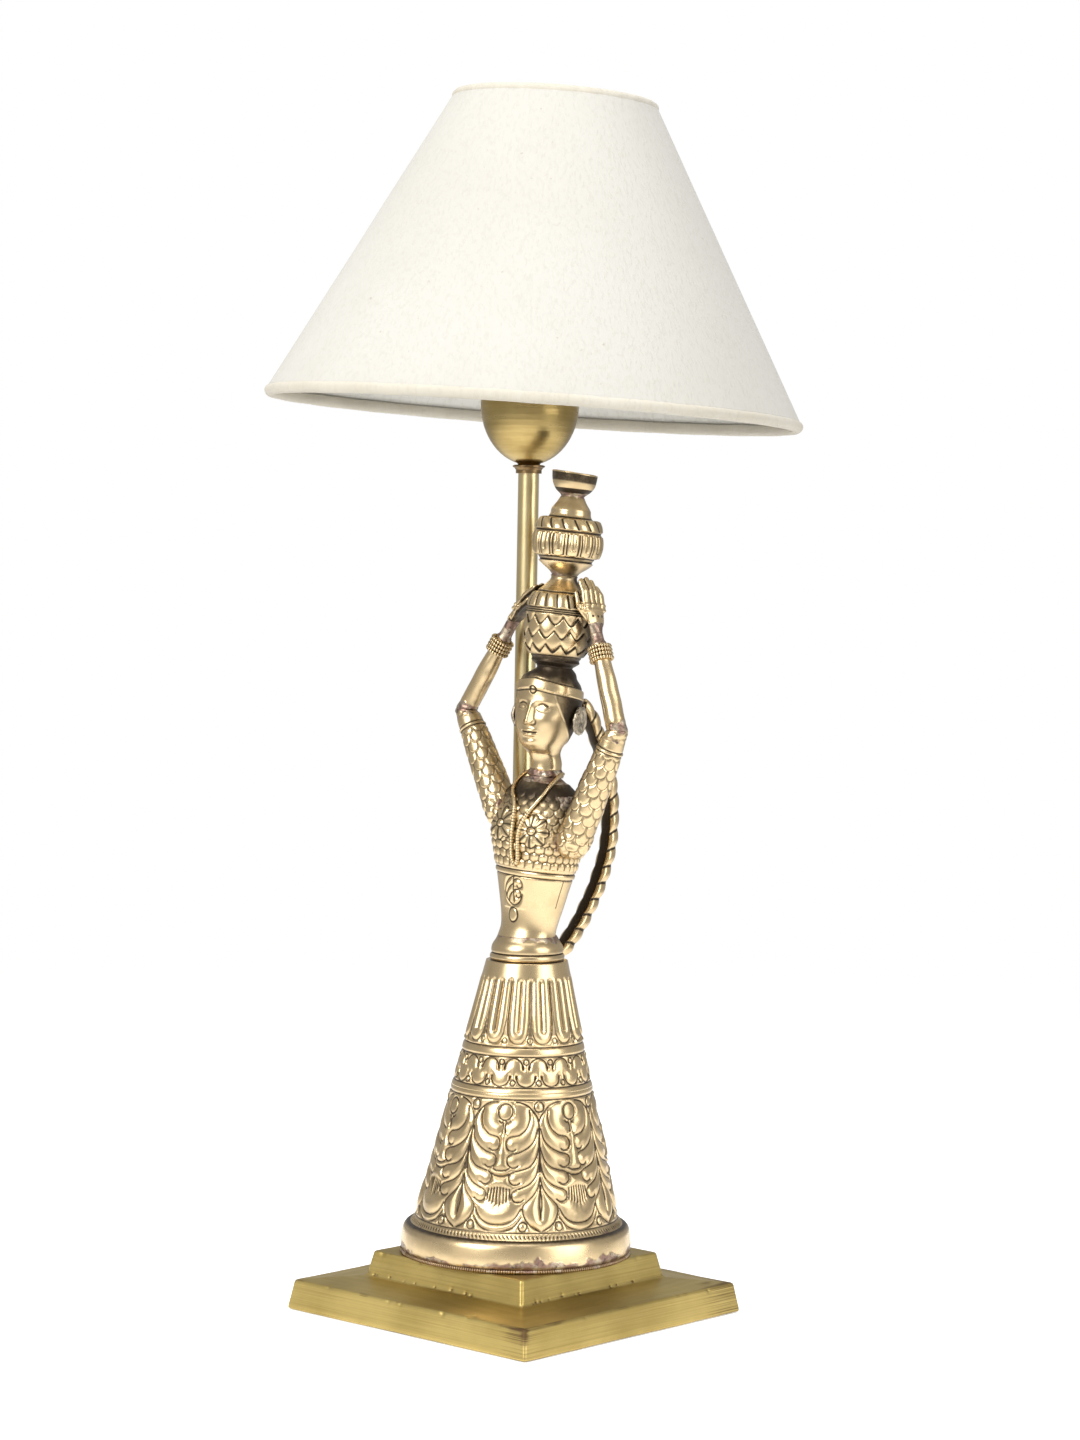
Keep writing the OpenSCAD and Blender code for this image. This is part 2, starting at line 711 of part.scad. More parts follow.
module head() color(old_brass) on_head() difference() {
    skin([for (r = smooth(head_rows(), 3)) head_ring(r, 40)]);
    translate([0, 0, neck_z - 1]) cylinder(r = 4.5, h = head_z - neck_z - 12);
}

// Outlines of the pots from foot to neck, as shares of their radius and height
function lower_outline() = [for (p = [
    [0.51, 0], [0.7, 0.055], [0.69, 0.09], [0.79, 0.13], [0.95, 0.23], [1, 0.39], [0.975, 0.53],
    [0.99, 0.58], [0.97, 0.62], [0.935, 0.66], [0.85, 0.75], [0.69, 0.83], [0.54, 0.9], [0.41, 0.97],
    [0.395, 1]
]) [p[0] * pot_r, p[1] * lower_pot_h]];

function upper_outline() = [for (p = [
    [0.395 * pot_r / upper_pot_r, 0], [0.46, 0.045], [0.66, 0.11], [0.8, 0.17], [0.79, 0.2], [0.92, 0.25],
    [1, 0.36], [1, 0.46],
    [0.96, 0.545], [0.97, 0.58], [0.93, 0.65], [0.82, 0.72], [0.62, 0.75], [0.58, 0.83], [0.44, 0.92],
    [0.36 * pot_r / upper_pot_r, 1]
]) [p[0] * upper_pot_r, p[1] * upper_pot_h]];

module on_pots(z) on_figure() translate(pot_shift + [0, 0, head_z + z]) children();

module lower_pot() color(old_brass) on_pots(0) shell(lower_outline(), pot_wall);

module upper_pot() color(old_brass) on_pots(lower_pot_h) shell(upper_outline(), pot_wall);

module pot_bowl() color(old_brass) on_pots(lower_pot_h + upper_pot_h) rotate_extrude() polygon([
    [0, 0],
    [0.36 * pot_r, 0],
    [0.5 * pot_r, bowl_h * 0.2],
    [0.61 * pot_r, bowl_h * 0.45],
    [0.65 * pot_r, bowl_h * 0.7],
    [0.665 * pot_r, bowl_h],
    [0.665 * pot_r - 1, bowl_h],
    [0.65 * pot_r - 1.1, bowl_h * 0.7],
    [0.58 * pot_r - 1, bowl_h * 0.5],
    [0.4 * pot_r, bowl_h * 0.25],
    [0, bowl_h * 0.22]
]);

// Direction square to the mitre where two limbs meet
function mitre(a, b, c) = unit(unit(b - a) + unit(c - b));

module upper_arm(shoulder, elbow, wrist) {
    w = unit(elbow - shoulder);
    l = norm(elbow - shoulder);
    color(old_brass) on_figure() difference() {
        limb(shoulder, elbow, [
            [-arm_r * 0.86, arm_r * 0.3],
            [-arm_r * 0.68, arm_r * 0.66],
            [-arm_r * 0.35, arm_r * 0.9],
            [arm_r * 0.2, arm_r],
            [l * 0.35, arm_r * 0.95],
            [l * 0.7, arm_r * 0.82],
            [l - 5.5, forearm_r + 1.1],
            [l, forearm_r + 0.1]
        ], w, mitre(shoulder, elbow, wrist));
        torso_form();
    }
}

module upper_arm_left() upper_arm(shoulder_l, elbow_l, wrist_l);
module upper_arm_right() upper_arm(shoulder_r, elbow_r, wrist_rt);

module forearm(shoulder, elbow, wrist) {
    w = unit(wrist - elbow);
    l = norm(wrist - elbow);
    color(old_brass) on_figure() limb(elbow, wrist, [
        [0, forearm_r + 0.1],
        [5, forearm_r],
        [l * 0.5, forearm_r * 0.96],
        [l - bangle_back - bangle_count * bangle_pitch / 2 - 0.5, bangle_seat_r + 0.2],
        [l - bangle_back + bangle_count * bangle_pitch / 2 + 0.5, bangle_seat_r],
        [l - bangle_back + bangle_count * bangle_pitch / 2 + 2, wrist_r + 0.2],
        [l, wrist_r]
    ], mitre(shoulder, elbow, wrist), w);
}

module forearm_left() forearm(shoulder_l, elbow_l, wrist_l);
module forearm_right() forearm(shoulder_r, elbow_r, wrist_rt);

// Stands the local Z axis along p to q, with local X kept as near as can be to the X axis
module along(p, q) {
    w = unit(q - p);
    u = unit([1, 0, 0] - w * w[0]);
    v = cross(w, u);
    multmatrix([
        [u[0], v[0], w[0], p[0]],
        [u[1], v[1], w[1], p[1]],
        [u[2], v[2], w[2], p[2]],
        [0, 0, 0, 1]
    ]) children();
}

module bangles(elbow, wrist) color(old_brass) on_figure() along(wrist, wrist + (wrist - elbow))
    for (i = [0 : bangle_count - 1])
        translate([0, 0, -bangle_back + (i - (bangle_count - 1) / 2) * bangle_pitch])
            rotate_extrude() translate([bangle_seat_r + part_gap + bangle_wire_r, 0])
                circle(r = bangle_wire_r);

module bangles_left() bangles(elbow_l, wrist_l);
module bangles_right() bangles(elbow_r, wrist_rt);

module flat_ball(r, t) scale([t / r, 1, 1]) sphere(r = r, $fn = 10);

// A cupped open hand from the wrist; the palm faces local X times side, the thumb is on the -Y edge
module hand(side, l) {
    finger_w = hand_w / 4;
    palm_l = l * 0.5;
    hull() {
        translate([0, 0, -1.4]) cylinder(r = wrist_r, h = 2.4, $fn = 12);
        translate([0, 0, palm_l * 0.55]) flat_ball(hand_w * 0.36, 1.6);
    }
    hull() {
        translate([0, 0, palm_l * 0.5]) flat_ball(hand_w * 0.42, 1.5);
        translate([side * 0.6, 0, palm_l * 0.86]) flat_ball(hand_w * 0.46, 1.4);
    }
    for (i = [0 : 3]) {
        y = (i - 1.5) * finger_w;
        tip = l * [0.98, 1, 0.95, 0.86][i];
        mid = [side * 1.4, y, (palm_l + tip) / 2];
        hull() {
            translate([side * 0.6, y, palm_l * 0.9]) flat_ball(finger_w * 0.53, 1.4);
            translate(mid) flat_ball(finger_w * 0.52, 1.3);
        }
        hull() {
            translate(mid) flat_ball(finger_w * 0.52, 1.3);
            translate([side * 3.4, y, tip - finger_w * 0.45]) flat_ball(finger_w * 0.45, 1.1);
        }
    }
    hull() {
        translate([0, -wrist_r * 0.4, palm_l * 0.3]) flat_ball(2, 1.4);
        translate([side * 3.4, -hand_w * 0.52, palm_l * 0.95]) flat_ball(1.9, 1.2);
    }
    hull() {
        translate([side * 3.4, -hand_w * 0.52, palm_l * 0.95]) flat_ball(1.9, 1.2);
        translate([side * 5, -hand_w * 0.5, palm_l * 1.45]) flat_ball(1.6, 1.1);
    }
}

// The hand stands square on the end of its forearm
module placed_hand(elbow, wrist, tip, side) on_figure() difference() {
    along(wrist, tip) hand(side, norm(tip - wrist));
    along(wrist, wrist + (wrist - elbow)) translate([-20, -20, -20]) cube([40, 40, 20]);
}

module hand_left() color(old_brass) placed_hand(elbow_l, wrist_l, hand_tip_l, -1);
module hand_right() color(dark_brass) placed_hand(elbow_r, wrist_rt, hand_tip_r, 1);

// Where the chest's front lies at a place across and a height
function chest_y(x, z) =
    let (
        rx = lookup(z, [for (r = torso_rows()) [r[0], r[1]]]),
        ry = lookup(z, [for (r = torso_rows()) [r[0], r[2]]])
    )
    torso_back - ry * sqrt(1 - pow(x / rx, 2));

// Long narrow loop of wire from one side of the neck down to the hem of the bodice and back
necklace_half = [
    for (p = [[-7.9, 75.5], [-7.1, 70.5], [-4.6, 62], [-2.9, 54.5], [-2.4, 46.5], [-1.7, 41], [0, 38.8]])
        [p[0], chest_y(p[0], p[1]) - necklace_r - part_gap - 0.25, p[1]]
];

module necklace() {
    nape = [[-9.4, torso_back - 1, neck_z + 0.8], [-8.9, torso_back - 6.5, neck_z - 1.6]];
    half = concat(nape, necklace_half);
    back = [for (i = [len(half) - 2 : -1 : 0]) [-half[i][0], half[i][1], half[i][2]]];
    color(old_brass) on_figure() tube(smooth(concat(half, back), 3), necklace_r, 8, [0, 1, 0.25]);
}

// Middle line of the braid behind the figure, as y and height above the waist
braid_line = [[22.9, 116], [28, 110.5], [35.6, 100], [43, 88], [48.4, 76], [51.6, 62], [51.9, 46],
    [47.6, 30], [39.6, 14], [30.6, 2], [22.2, -6.5]];

module braid() {
    rows = smooth(braid_line, 3);
    last = len(rows) - 1;
    color(old_brass) on_figure() skin([for (i = [0 : last])
        let (
            w = unit(rows[min(i + 1, last)] - rows[max(i - 1, 0)]),
            c = [0, rows[i][0], rows[i][1]],
            out = [0, -w[1], w[0]],
            half = braid_w / 2 * (i > last - 6 ? 1 - 0.07 * (i - last + 6) : 1)
        )
        concat(
            [for (k = [0 : 8])
                c + out * (braid_t * (sin(180 * k / 8) - 0.5)) + [half * cos(180 * k / 8), 0, 0]],
            [c - out * (braid_t * 0.62)]
        )]);
}

module earring(side) color("#b9b4a4") on_head()
    translate([0, ear_at[1] - torso_back, ear_at[2]]) rotate([0, side * 90, 0]) difference() {
        union() {
            translate([0, 0, ear_at[0] - earring_t / 2]) cylinder(d = earring_d, h = earring_t);
            translate([0, 0, ear_post[0]]) cylinder(r = ear_post[1], h = ear_at[0] - ear_post[0]);
        }
        translate([0, 0, ear_at[0] + earring_t / 2 - 0.4]) ring(earring_d * 0.22, earring_d * 0.34, 0, 1);
    }

module earring_left() earring(1);
module earring_right() earring(-1);

module tilt_ring() color(brass) on_pins() difference() {
    union() {
        ring(neck_r + running, tilt_ring_r, tilt_ring_z, tilt_ring_t);
        for (s = [0, 180]) rotate([0, 0, s]) translate([-ear_w / 2, ear_r, lug_z])
            cube([ear_w, ear_l, tilt_ring_z + ear_h - lug_z]);
    }
    translate([0, 0, pin_z]) rotate([90, 0, 0]) cylinder(d = pin_d + 0.04, h = 4 * ear_r, center = true);
    translate([0, 0, tilt_ring_z - 1]) cylinder(r = neck_r + running, h = ear_h + 2);
}

module tilt_pins() color(steel) on_pins() for (s = [0, 180]) rotate([0, 0, s])
    translate([0, ear_r + 0.1, pin_z]) rotate([-90, 0, 0]) {
        reach = carrier_in_r + carrier_t + 0.3 - ear_r - 0.1;
        cylinder(d = pin_d, h = reach);
        translate([0, 0, reach]) cylinder(d = pin_d + 2, h = 1);
    }

module carrier_ring() color(brass) on_shade() difference() {
    ring(carrier_in_r, carrier_in_r + carrier_t, pin_z - carrier_h / 2, carrier_h);
    translate([0, 0, pin_z]) rotate([90, 0, 0])
        cylinder(r = pin_d / 2 + pin_running, h = 4 * carrier_in_r, center = true);
}

// Four wires that spread from the carrier ring to the upper rim
module spider_wires(r) {
    foot = [carrier_in_r + carrier_t / 2, pin_z + carrier_h / 2];
    difference() {
        for (a = [45 : 90 : 315]) {
            p = [foot[0] * cos(a), foot[0] * sin(a), foot[1]];
            q = [rim_high[0] * cos(a) + shade_shift, rim_high[0] * sin(a), rim_high[1]];
            along(p, q) translate([0, 0, -2]) cylinder(r = r, h = norm(q - p) + 2);
        }
        translate([-60, -60, foot[1] - 6]) cube([120, 120, 6]);
    }
}

module beside_pivot() translate([shade_shift, 0, 0]) children();

module rim_wire(rim) rotate_extrude() translate(rim) circle(r = wire_r);

module shade_spider() color(steel) on_shade() {
    beside_pivot() rim_wire(rim_high);
    spider_wires(wire_r * 0.9);
}

module shade_bottom_wire() color(steel) on_shade() beside_pivot() rim_wire(rim_low);

// A straight strip of the shade's section, between two distances out from the rim wires' middles
module cone_section(off, t, short) {
    low = rim_low + shade_run * short;
    high = rim_high - shade_run * short;
    inner = shade_out * off;
    outer = shade_out * (off + t);
    polygon([low + inner, low + outer, high + outer, high + inner]);
}

module shade_cover() color(linen) on_shade() beside_pivot() rotate_extrude()
    cone_section(cover_off, cover_t, 0);

module shade_lining() color("#f4f1e8") on_shade() beside_pivot() rotate_extrude()
    cone_section(lining_off, lining_t, hem_r + 0.4);

module hem_section(rim) difference() {
    translate(rim) circle(r = hem_r);
    translate(rim) circle(r = wire_r + 0.04);
    cone_section(cover_off, cover_t, 0);
}

module shade_hems() color(linen) on_shade() {
    beside_pivot() rotate_extrude() hem_section(rim_low);
    difference() {
        beside_pivot() rotate_extrude() hem_section(rim_high);
        spider_wires(wire_r * 0.9 + 0.1);
    }
}

module retaining_ring() color("#2a2522") on_pole() difference() {
    ring(neck_r + running, retaining_r, retaining_z, retaining_h);
    for (a = [0 : 15 : 345]) rotate([0, 0, a]) translate([retaining_r + 0.35, 0, retaining_z - 1])
        cylinder(r = 1, h = retaining_h + 2);
}

module bulb_cap() color(steel) on_pole() translate([0, 0, bulb_z]) rotate_extrude() polygon([
    [0, 0],
    [3.5, 0],
    [4.5, 1],
    [cap_r - 1.5, bulb_tip_h - 1],
    [cap_r, bulb_tip_h],
    [cap_r, bulb_cap_h],
    [cap_r - 0.6, bulb_cap_h],
    [cap_r - 0.6, bulb_tip_h + 1],
    [0, bulb_tip_h]
]);

module bulb_globe() color("#f7f4ea") on_pole() {
    neck = cap_r - 0.65;
    mid = bulb_z + bulb_cap_h + globe_neck + sqrt(pow(globe_r, 2) - pow(neck, 2));
    low = acos(neck / globe_r);
    in_r = globe_r - globe_t;
    in_low = acos((neck - globe_t) / in_r);
    rotate_extrude() polygon(concat(
        [[neck - globe_t, bulb_z + bulb_cap_h], [neck, bulb_z + bulb_cap_h]],
        [for (i = [0 : 18]) let (a = -low + (90 + low) * i / 18)
            [globe_r * cos(a), mid + globe_r * sin(a)]],
        [for (i = [18 : -1 : 0]) let (a = -in_low + (90 + in_low) * i / 18)
            [in_r * cos(a), mid + in_r * sin(a)]]
    ));
}

base_casting();
base_felt();
bottom_plate();
plate_screws();
cord_bush();
terminal_block();
inner_lead();
pole_tube();
pole_nuts();
pole_washers();
cup_collar();
holder_cup();
cup_nut();
holder_base();
holder_shell();
holder_core();
screw_liner();
centre_contact();
skirt();
skirt_foot();
foot_bead_wire();
waist_collar();
skirt_bridge();
skirt_stud();
skirt_nut();
torso();
head();
lower_pot();
upper_pot();
pot_bowl();
upper_arm_left();
upper_arm_right();
forearm_left();
forearm_right();
hand_left();
hand_right();
bangles_left();
bangles_right();
necklace();
braid();
earring_left();
earring_right();
tilt_ring();
tilt_pins();
carrier_ring();
shade_spider();
shade_bottom_wire();
shade_cover();
shade_lining();
shade_hems();
retaining_ring();
bulb_cap();
bulb_globe();
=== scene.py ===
import math

import bmesh
import bpy
import numpy as np
from mathutils import Matrix, Vector


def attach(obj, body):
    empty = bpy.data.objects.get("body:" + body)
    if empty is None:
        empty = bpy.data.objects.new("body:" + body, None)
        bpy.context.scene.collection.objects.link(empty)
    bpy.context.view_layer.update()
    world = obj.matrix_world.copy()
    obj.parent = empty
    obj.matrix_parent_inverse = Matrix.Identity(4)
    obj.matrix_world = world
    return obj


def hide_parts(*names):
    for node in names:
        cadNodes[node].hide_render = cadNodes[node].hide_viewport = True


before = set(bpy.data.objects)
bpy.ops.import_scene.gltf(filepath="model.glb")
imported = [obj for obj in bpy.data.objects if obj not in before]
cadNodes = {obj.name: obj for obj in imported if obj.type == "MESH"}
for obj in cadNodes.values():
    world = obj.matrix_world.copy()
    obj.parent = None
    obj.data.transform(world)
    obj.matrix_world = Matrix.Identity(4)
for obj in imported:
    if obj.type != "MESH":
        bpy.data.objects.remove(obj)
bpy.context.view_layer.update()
print("frame loaded with", len(cadNodes), "nodes")

# Places that the CAD gives, in millimetres. The figure and the shade lean to the camera's right.
places = {
    "pole": (-22.5, 24.2),
    "figure": (1.2, 1.2, 174.2),
    "figureLean": 5.0,
    "headTurn": 10.0,
    "headMiddle": (0, 2, 0),
    "potsFoot": (0.2, 0.2, 132),
    "pivotHeight": 450.4,
    "shadeLean": 3.0,
    "leanSide": 42.3,
}
leanSide = math.radians(places["leanSide"])
leanAxis = Vector((-math.sin(leanSide), math.cos(leanSide), 0))
facing = math.radians(places["leanSide"] - 90)  # direction of the camera, seen from above
millimetres = Matrix.Scale(0.001, 4)
turned = Matrix.Rotation(leanSide, 4, "Z")
onSkirt = millimetres @ Matrix.Translation((places["figure"][0], places["figure"][1], 0))
onFigure = (
    millimetres
    @ Matrix.Translation(places["figure"])
    @ Matrix.Rotation(math.radians(places["figureLean"]), 4, leanAxis)
)
headTurned = Matrix.Rotation(math.radians(places["headTurn"]), 4, "Z")
onHead = onFigure @ Matrix.Translation(places["headMiddle"]) @ headTurned
onPots = onFigure @ Matrix.Translation(places["potsFoot"])
onShade = (
    millimetres
    @ Matrix.Translation((places["pole"][0], places["pole"][1], places["pivotHeight"]))
    @ Matrix.Rotation(math.radians(places["shadeLean"]), 4, leanAxis)
    @ turned
    @ Matrix.Translation((0, 0, -places["pivotHeight"]))
)

# The camera stands where the photograph was taken from
cameraSettings = {
    "distance": 1.619,
    "height": 0.3553,
    "azimuth": 42.3,
    "yaw": -0.25,
    "pitch": 2.64,
    "roll": 1.05,
    "lens": 86.08,
    "sensor": 36.0,
}


def addCamera(c):
    azimuth, look = math.radians(c["azimuth"]), math.radians(c["azimuth"] + c["yaw"])
    pitch, roll = math.radians(c["pitch"]), math.radians(c["roll"])
    ahead = Vector((-math.sin(look), math.cos(look), 0))
    right = Vector((math.cos(look), math.sin(look), 0))
    above = Vector((0, 0, 1))
    forward = ahead * math.cos(pitch) - above * math.sin(pitch)
    up = above * math.cos(pitch) + ahead * math.sin(pitch)
    across = right * math.cos(roll) + up * math.sin(roll)
    upright = up * math.cos(roll) - right * math.sin(roll)
    data = bpy.data.cameras.new("camera")
    data.lens, data.sensor_width = c["lens"], c["sensor"]
    camera = bpy.data.objects.new("camera", data)
    bpy.context.scene.collection.objects.link(camera)
    place = Vector((c["distance"] * math.sin(azimuth), -c["distance"] * math.cos(azimuth), c["height"]))
    turn = Matrix((across, upright, -forward)).transposed().to_4x4()
    camera.matrix_world = Matrix.Translation(place) @ turn
    bpy.context.scene.camera = camera


addCamera(cameraSettings)
bpy.context.scene.view_settings.view_transform = "Standard"
print("camera placed")

# Plain soft studio light over a pale floor
lightSettings = {
    "surround": (0.62, 0.62, 0.62),
    "surroundStrength": 0.75,
    "floorRadius": 2.6,
    "floorBright": 0.96,
    "floorRough": 0.9,
    "floorGlow": 0.35,
    "floorFade": (0.2, 1.4),  # where it begins and ends to fade, in metres from the middle
    "lamps": [
        # name, side (right of the camera), towards the camera, height, size, power
        ("keyLight", -1.15, 1.25, 1.15, 0.9, 34.0),
        ("fillLight", 1.35, 1.0, 0.75, 1.1, 16.0),
        ("topLight", 0.0, 0.1, 1.9, 1.2, 20.0),
    ],
    "lampDepth": 1.3,  # times its width
    "lampAim": (0, 0, 0.25),
}


def fromCamera(side, towards, height):
    azimuth = math.radians(cameraSettings["azimuth"])
    right = Vector((math.cos(azimuth), math.sin(azimuth), 0))
    near = Vector((math.sin(azimuth), -math.cos(azimuth), 0))
    return right * side + near * towards + Vector((0, 0, height))


def addLights(c):
    for name, side, towards, height, size, power in c["lamps"]:
        data = bpy.data.lights.new(name, "AREA")
        data.shape, data.energy = "RECTANGLE", power
        data.size, data.size_y = size, size * c["lampDepth"]
        lamp = bpy.data.objects.new(name, data)
        bpy.context.scene.collection.objects.link(lamp)
        lamp.location = fromCamera(side, towards, height)
        aim = Vector(c["lampAim"]) - lamp.location
        lamp.rotation_euler = aim.to_track_quat("-Z", "Y").to_euler()


def addSurround(c):
    world = bpy.data.worlds.new("studio")
    bpy.context.scene.world = world
    world.use_nodes = True
    tree = world.node_tree
    tree.nodes.clear()
    out = tree.nodes.new("ShaderNodeOutputWorld")
    room = tree.nodes.new("ShaderNodeBackground")
    room.inputs["Color"].default_value = (*c["surround"], 1)
    room.inputs["Strength"].default_value = c["surroundStrength"]
    sheet = tree.nodes.new("ShaderNodeBackground")
    sheet.inputs["Color"].default_value = (1, 1, 1, 1)
    ray = tree.nodes.new("ShaderNodeLightPath")
    mix = tree.nodes.new("ShaderNodeMixShader")
    tree.links.new(ray.outputs["Is Camera Ray"], mix.inputs["Fac"])
    tree.links.new(room.outputs["Background"], mix.inputs[1])
    tree.links.new(sheet.outputs["Background"], mix.inputs[2])
    tree.links.new(mix.outputs["Shader"], out.inputs["Surface"])


def addFloor(c):
    bpy.ops.object.select_all(action="DESELECT")
    bpy.ops.mesh.primitive_circle_add(
        vertices=96, radius=c["floorRadius"], fill_type="NGON", location=(0, 0, 0)
    )
    floor = bpy.context.object
    floor.name = "paleFloor"
    material = bpy.data.materials.new("palePaper")
    material.use_nodes = True
    tree = material.node_tree
    shader = tree.nodes["Principled BSDF"]
    shader.inputs["Base Color"].default_value = (c["floorBright"],) * 3 + (1,)
    shader.inputs["Roughness"].default_value = c["floorRough"]
    shader.inputs["Emission Color"].default_value = (1, 1, 1, 1)
    shader.inputs["Emission Strength"].default_value = c["floorGlow"]
    clear = tree.nodes.new("ShaderNodeBsdfTransparent")
    mix = tree.nodes.new("ShaderNodeMixShader")
    place = tree.nodes.new("ShaderNodeTexCoord")
    length = tree.nodes.new("ShaderNodeVectorMath")
    length.operation = "LENGTH"
    fade = tree.nodes.new("ShaderNodeMapRange")
    fade.interpolation_type = "SMOOTHSTEP"
    fade.inputs["From Min"].default_value = c["floorFade"][0]
    fade.inputs["From Max"].default_value = c["floorFade"][1]
    tree.links.new(place.outputs["Object"], length.inputs[0])
    tree.links.new(length.outputs["Value"], fade.inputs["Value"])
    tree.links.new(fade.outputs["Result"], mix.inputs["Fac"])
    tree.links.new(shader.outputs["BSDF"], mix.inputs[1])
    tree.links.new(clear.outputs["BSDF"], mix.inputs[2])
    tree.links.new(mix.outputs["Shader"], tree.nodes["Material Output"].inputs["Surface"])
    floor.data.materials.append(material)


addLights(lightSettings)
addSurround(lightSettings)
addFloor(lightSettings)
print("lights, surround and floor added")


# Tools for making a finish
def newGroup(name, inputs, outputs):
    group = bpy.data.node_groups.new(name, "ShaderNodeTree")
    for label, kind, value in inputs:
        socket = group.interface.new_socket(name=label, in_out="INPUT", socket_type=kind)
        socket.default_value = value
    for label, kind in outputs:
        group.interface.new_socket(name=label, in_out="OUTPUT", socket_type=kind)
    return group, group.nodes.new("NodeGroupInput"), group.nodes.new("NodeGroupOutput")


def calc(tree, operation, a, b=0.5, clamp=False):
    node = tree.nodes.new("ShaderNodeMath")
    node.operation, node.use_clamp = operation, clamp
    for slot, value in ((0, a), (1, b)):
        if isinstance(value, bpy.types.NodeSocket):
            tree.links.new(value, node.inputs[slot])
        else:
            node.inputs[slot].default_value = value
    return node.outputs[0]


def blendColour(tree, share, first, second):
    node = tree.nodes.new("ShaderNodeMix")
    node.data_type = "RGBA"
    for socket, value in ((node.inputs["Factor"], share), (node.inputs[6], first), (node.inputs[7], second)):
        if isinstance(value, bpy.types.NodeSocket):
            tree.links.new(value, socket)
        else:
            socket.default_value = value if isinstance(value, float) else (*value, 1)
    return node.outputs[2]


def spread(tree, value, low, high, newLow=0.0, newHigh=1.0):
    node = tree.nodes.new("ShaderNodeMapRange")
    node.interpolation_type = "SMOOTHSTEP"
    tree.links.new(value, node.inputs["Value"])
    for name, number in zip(("From Min", "From Max", "To Min", "To Max"), (low, high, newLow, newHigh)):
        node.inputs[name].default_value = number
    return node.outputs["Result"]


def grain(tree, vector, scale, detail=3.0, roughness=0.55, stretch=None):
    if stretch is not None:
        mapping = tree.nodes.new("ShaderNodeMapping")
        mapping.inputs["Scale"].default_value = stretch
        tree.links.new(vector, mapping.inputs["Vector"])
        vector = mapping.outputs["Vector"]
    node = tree.nodes.new("ShaderNodeTexNoise")
    node.inputs["Scale"].default_value = scale
    node.inputs["Detail"].default_value = detail
    node.inputs["Roughness"].default_value = roughness
    tree.links.new(vector, node.inputs["Vector"])
    return node.outputs["Fac"]


# How far a grain lies over or under its middle, times an amount
def sway(tree, value, amount):
    return calc(tree, "MULTIPLY", calc(tree, "SUBTRACT", value, 0.5), amount)


def objectPlace(tree):
    return tree.nodes.new("ShaderNodeTexCoord").outputs["Object"]


solderTones = {"pale": (0.5, 0.42, 0.31), "burnt": (0.065, 0.047, 0.042)}


# Old brass: bright where it is rubbed, brown in the hollows, copper coloured where it was soldered
def makeAgedFinish():
    group, given, made = newGroup(
        "agedFinish",
        [
            ("Patina", "NodeSocketFloat", 0.0),
            ("Solder", "NodeSocketFloat", 0.0),
            ("Bright", "NodeSocketColor", (0.62, 0.46, 0.2, 1)),
            ("Worn", "NodeSocketColor", (0.36, 0.25, 0.1, 1)),
            ("Dark", "NodeSocketColor", (0.045, 0.031, 0.018, 1)),
            ("Copper", "NodeSocketColor", (0.27, 0.175, 0.135, 1)),
            ("Tarnish", "NodeSocketFloat", 0.5),
            ("Polish", "NodeSocketFloat", 0.22),
        ],
        [
            ("Colour", "NodeSocketColor"),
            ("Roughness", "NodeSocketFloat"),
            ("Metallic", "NodeSocketFloat"),
            ("Height", "NodeSocketFloat"),
        ],
    )
    place = objectPlace(group)
    patina, solder = given.outputs["Patina"], given.outputs["Solder"]
    blotches = spread(group, grain(group, place, 55, 4), 0.42, 0.72)
    mottle = grain(group, place, 420, 5, 0.65)
    rubs = grain(group, place, 160, 4, 0.6, (1, 1, 0.25))
    lumps = grain(group, place, 190, 4, 0.6)
    patches = grain(group, place, 75, 3, 0.6)
    stain = calc(group, "MULTIPLY", blotches, given.outputs["Tarnish"])
    stain = calc(group, "ADD", stain, sway(group, rubs, 0.5), clamp=True)
    skin = blendColour(group, stain, given.outputs["Bright"], given.outputs["Worn"])
    hollow = calc(group, "MULTIPLY", sway(group, mottle, 0.5), patina)
    hollow = calc(group, "ADD", hollow, patina, clamp=True)
    hollow = spread(group, hollow, 0.12, 0.8)
    skin = blendColour(group, hollow, skin, given.outputs["Dark"])
    joint = calc(group, "ADD", solder, sway(group, patches, 1.3))
    joint = spread(group, joint, 0.42, 0.52)
    joint = calc(group, "MULTIPLY", joint, spread(group, solder, 0.02, 0.15))
    seam = spread(group, lumps, 0.42, 0.62)
    seam = blendColour(group, seam, given.outputs["Copper"], solderTones["pale"])
    seam = blendColour(group, spread(group, mottle, 0.5, 0.72), seam, solderTones["burnt"])
    skin = blendColour(group, joint, skin, seam)
    group.links.new(skin, made.inputs["Colour"])
    rough = calc(group, "ADD", given.outputs["Polish"], calc(group, "MULTIPLY", stain, 0.14))
    rough = calc(group, "ADD", rough, calc(group, "MULTIPLY", hollow, 0.12))
    rough = calc(group, "ADD", rough, calc(group, "MULTIPLY", joint, 0.12), clamp=True)
    group.links.new(rough, made.inputs["Roughness"])
    metal = calc(group, "SUBTRACT", 1.0, calc(group, "MULTIPLY", hollow, 0.2))
    group.links.new(metal, made.inputs["Metallic"])
    height = calc(group, "ADD", calc(group, "MULTIPLY", mottle, 0.35), rubs)
    height = calc(group, "MULTIPLY", height, 0.2)
    rise = calc(group, "MULTIPLY", calc(group, "MULTIPLY", lumps, joint), 1.2)
    group.links.new(calc(group, "ADD", height, rise), made.inputs["Height"])
    return group


